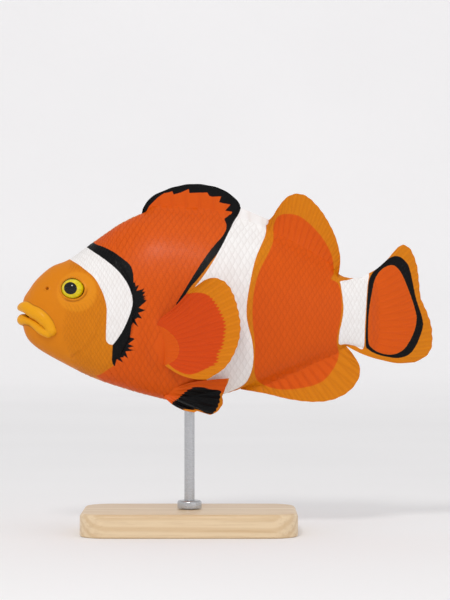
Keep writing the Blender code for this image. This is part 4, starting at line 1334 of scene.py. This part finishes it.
def stage_material():
    """Pale paper that glows with painted light, weak under the fish and stronger further out, where it rises
    behind the table.
    """
    made, tree, shader = material("pale_floor", 0.9, specular=0.1)
    base = mixed(tree, ramp(tree, noise(tree, 6, 2), 0.3, 0.7), colour(237, 236, 237), colour(234, 233, 234))
    tree.links.new(base, shader.inputs["Base Color"])
    place = node(tree, "TexCoord").outputs["Object"]
    away = node(tree, "VectorMath", {0: place}, operation="LENGTH").outputs["Value"]
    # Painted light: the floor glows, more the further it lies from the middle.
    shader.inputs["Emission Color"].default_value = (1.0, 0.99, 1.0, 1.0)
    tree.links.new(ramp(tree, away, 0.0, 1.3, 0.07, 0.22), shader.inputs["Emission Strength"])
    return made


# ---------------------------------------------------------------- floor, lights and camera

LENS, SENSOR, PICTURE_HEIGHT = 150.0, 36.0, 600  # in millimetres, and in pixels
FLOOR_FLAT, FLOOR_BEND, FLOOR_WALL, FLOOR_COLUMNS = 1.0, 0.5, 0.05, 96
MM_PER_PIXEL = 0.21635  # laid-out millimetres across one pixel at the fish
PICTURE_AXIS = 299.0  # the row of the picture on which the body's axis lies


def build_stage():
    """A pale floor that rises in a wide curve all round, like a studio's cove."""
    profile = [(0.02, 0.0), (0.1, 0.0), (0.3, 0.0), (FLOOR_FLAT, 0.0)]
    for bend in np.radians(np.arange(6, 91, 6)):
        profile.append((FLOOR_FLAT + FLOOR_BEND * math.sin(bend), FLOOR_BEND - FLOOR_BEND * math.cos(bend)))
    profile.append((FLOOR_FLAT + FLOOR_BEND, FLOOR_BEND + FLOOR_WALL))
    around = np.arange(FLOOR_COLUMNS) * 2 * math.pi / FLOOR_COLUMNS
    across, deep = np.cos(around), np.sin(around)
    rows = [np.column_stack([r * across, r * deep, np.full(FLOOR_COLUMNS, h)]) for r, h in profile]
    faces = quads(len(rows), FLOOR_COLUMNS, wrap=True)[:, ::-1].tolist() + [tuple(range(FLOOR_COLUMNS))]
    mesh = bpy.data.meshes.new("floor")
    mesh.from_pydata(np.vstack(rows).tolist(), [], faces)
    mesh.materials.append(stage_material())
    mesh.shade_smooth()
    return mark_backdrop(in_scene("floor", mesh))


def aim(obj, at):
    obj.rotation_euler = (Vector(at) - obj.location).to_track_quat("-Z", "Y").to_euler()


def area_light(name, direction, distance, size, watts, warmth=(1, 1, 1)):
    """A soft round light that looks at the fish from a direction, in metres."""
    data = bpy.data.lights.new(name, "AREA")
    data.shape, data.size, data.energy, data.color = "DISK", size, watts, warmth
    light = in_scene(name, data)
    light.location = Vector((0, 0, AXIS)) + Vector(direction).normalized() * distance
    aim(light, (0, 0, AXIS))


def build_lights():
    """A warm key from above the front, a wide top light, a cool fill, and an even studio all round."""
    area_light("key", (-0.16, -0.76, 0.63), 0.8, 0.16, 1.9, (1.0, 0.985, 0.96))
    area_light("top", (0.1, -0.1, 1.0), 1.0, 0.8, 0.6)
    area_light("fill", (0.7, -0.7, 0.15), 1.1, 0.7, 0.5, (0.96, 0.98, 1.0))
    world = bpy.data.worlds.new("studio")
    world.use_nodes = True
    background = world.node_tree.nodes["Background"]
    background.inputs["Color"].default_value = (1.0, 1.0, 1.0, 1.0)
    background.inputs["Strength"].default_value = 0.67
    bpy.context.scene.world = world
    bpy.context.scene.view_settings.view_transform = "Standard"


def build_camera():
    """A level camera square to the fish's left side, at its height, framed as the picture is."""
    data = bpy.data.cameras.new("camera")
    data.lens, data.sensor_width = LENS, SENSOR
    camera = in_scene("camera", data)
    pixel = MM_PER_PIXEL * METRES
    distance = PICTURE_HEIGHT * pixel * LENS / SENSOR
    height = AXIS - (PICTURE_HEIGHT / 2 - PICTURE_AXIS) * pixel
    camera.location = (-LAID_OUT_MIDDLE * METRES, -distance, height)
    camera.rotation_euler = (math.pi / 2, 0, 0)
    data.clip_start, data.clip_end = 0.01, 20.0
    bpy.context.scene.camera = camera


# ---------------------------------------------------------------- the whole


def main():
    """Builds every piece, gives each its body, and sets the stage."""
    paint = fish_paint()
    skin_look, scale_look, fin_look = skin_material(paint), scale_material(paint), fin_material(paint)
    eye_look, wood, steel = eye_material(), wood_material(), steel_material()

    grid, marks = skin_shape()
    surface = Surface(grid)
    pieces = {
        "body_skin": [build_skin(skin_look, surface, marks), *build_coat(scale_look, surface)],
        "fins": build_fins(fin_look),
        "eyes": [build_eye("left", -1, eye_look), build_eye("right", 1, eye_look)],
        "stand_wood": [build_base(wood)],
        "stand_steel": [build_rod(steel), build_collar(steel)],
    }
    for slot, objects in pieces.items():
        for obj in objects:
            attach(obj, "root")

    build_stage()
    build_lights()
    build_camera()


main()
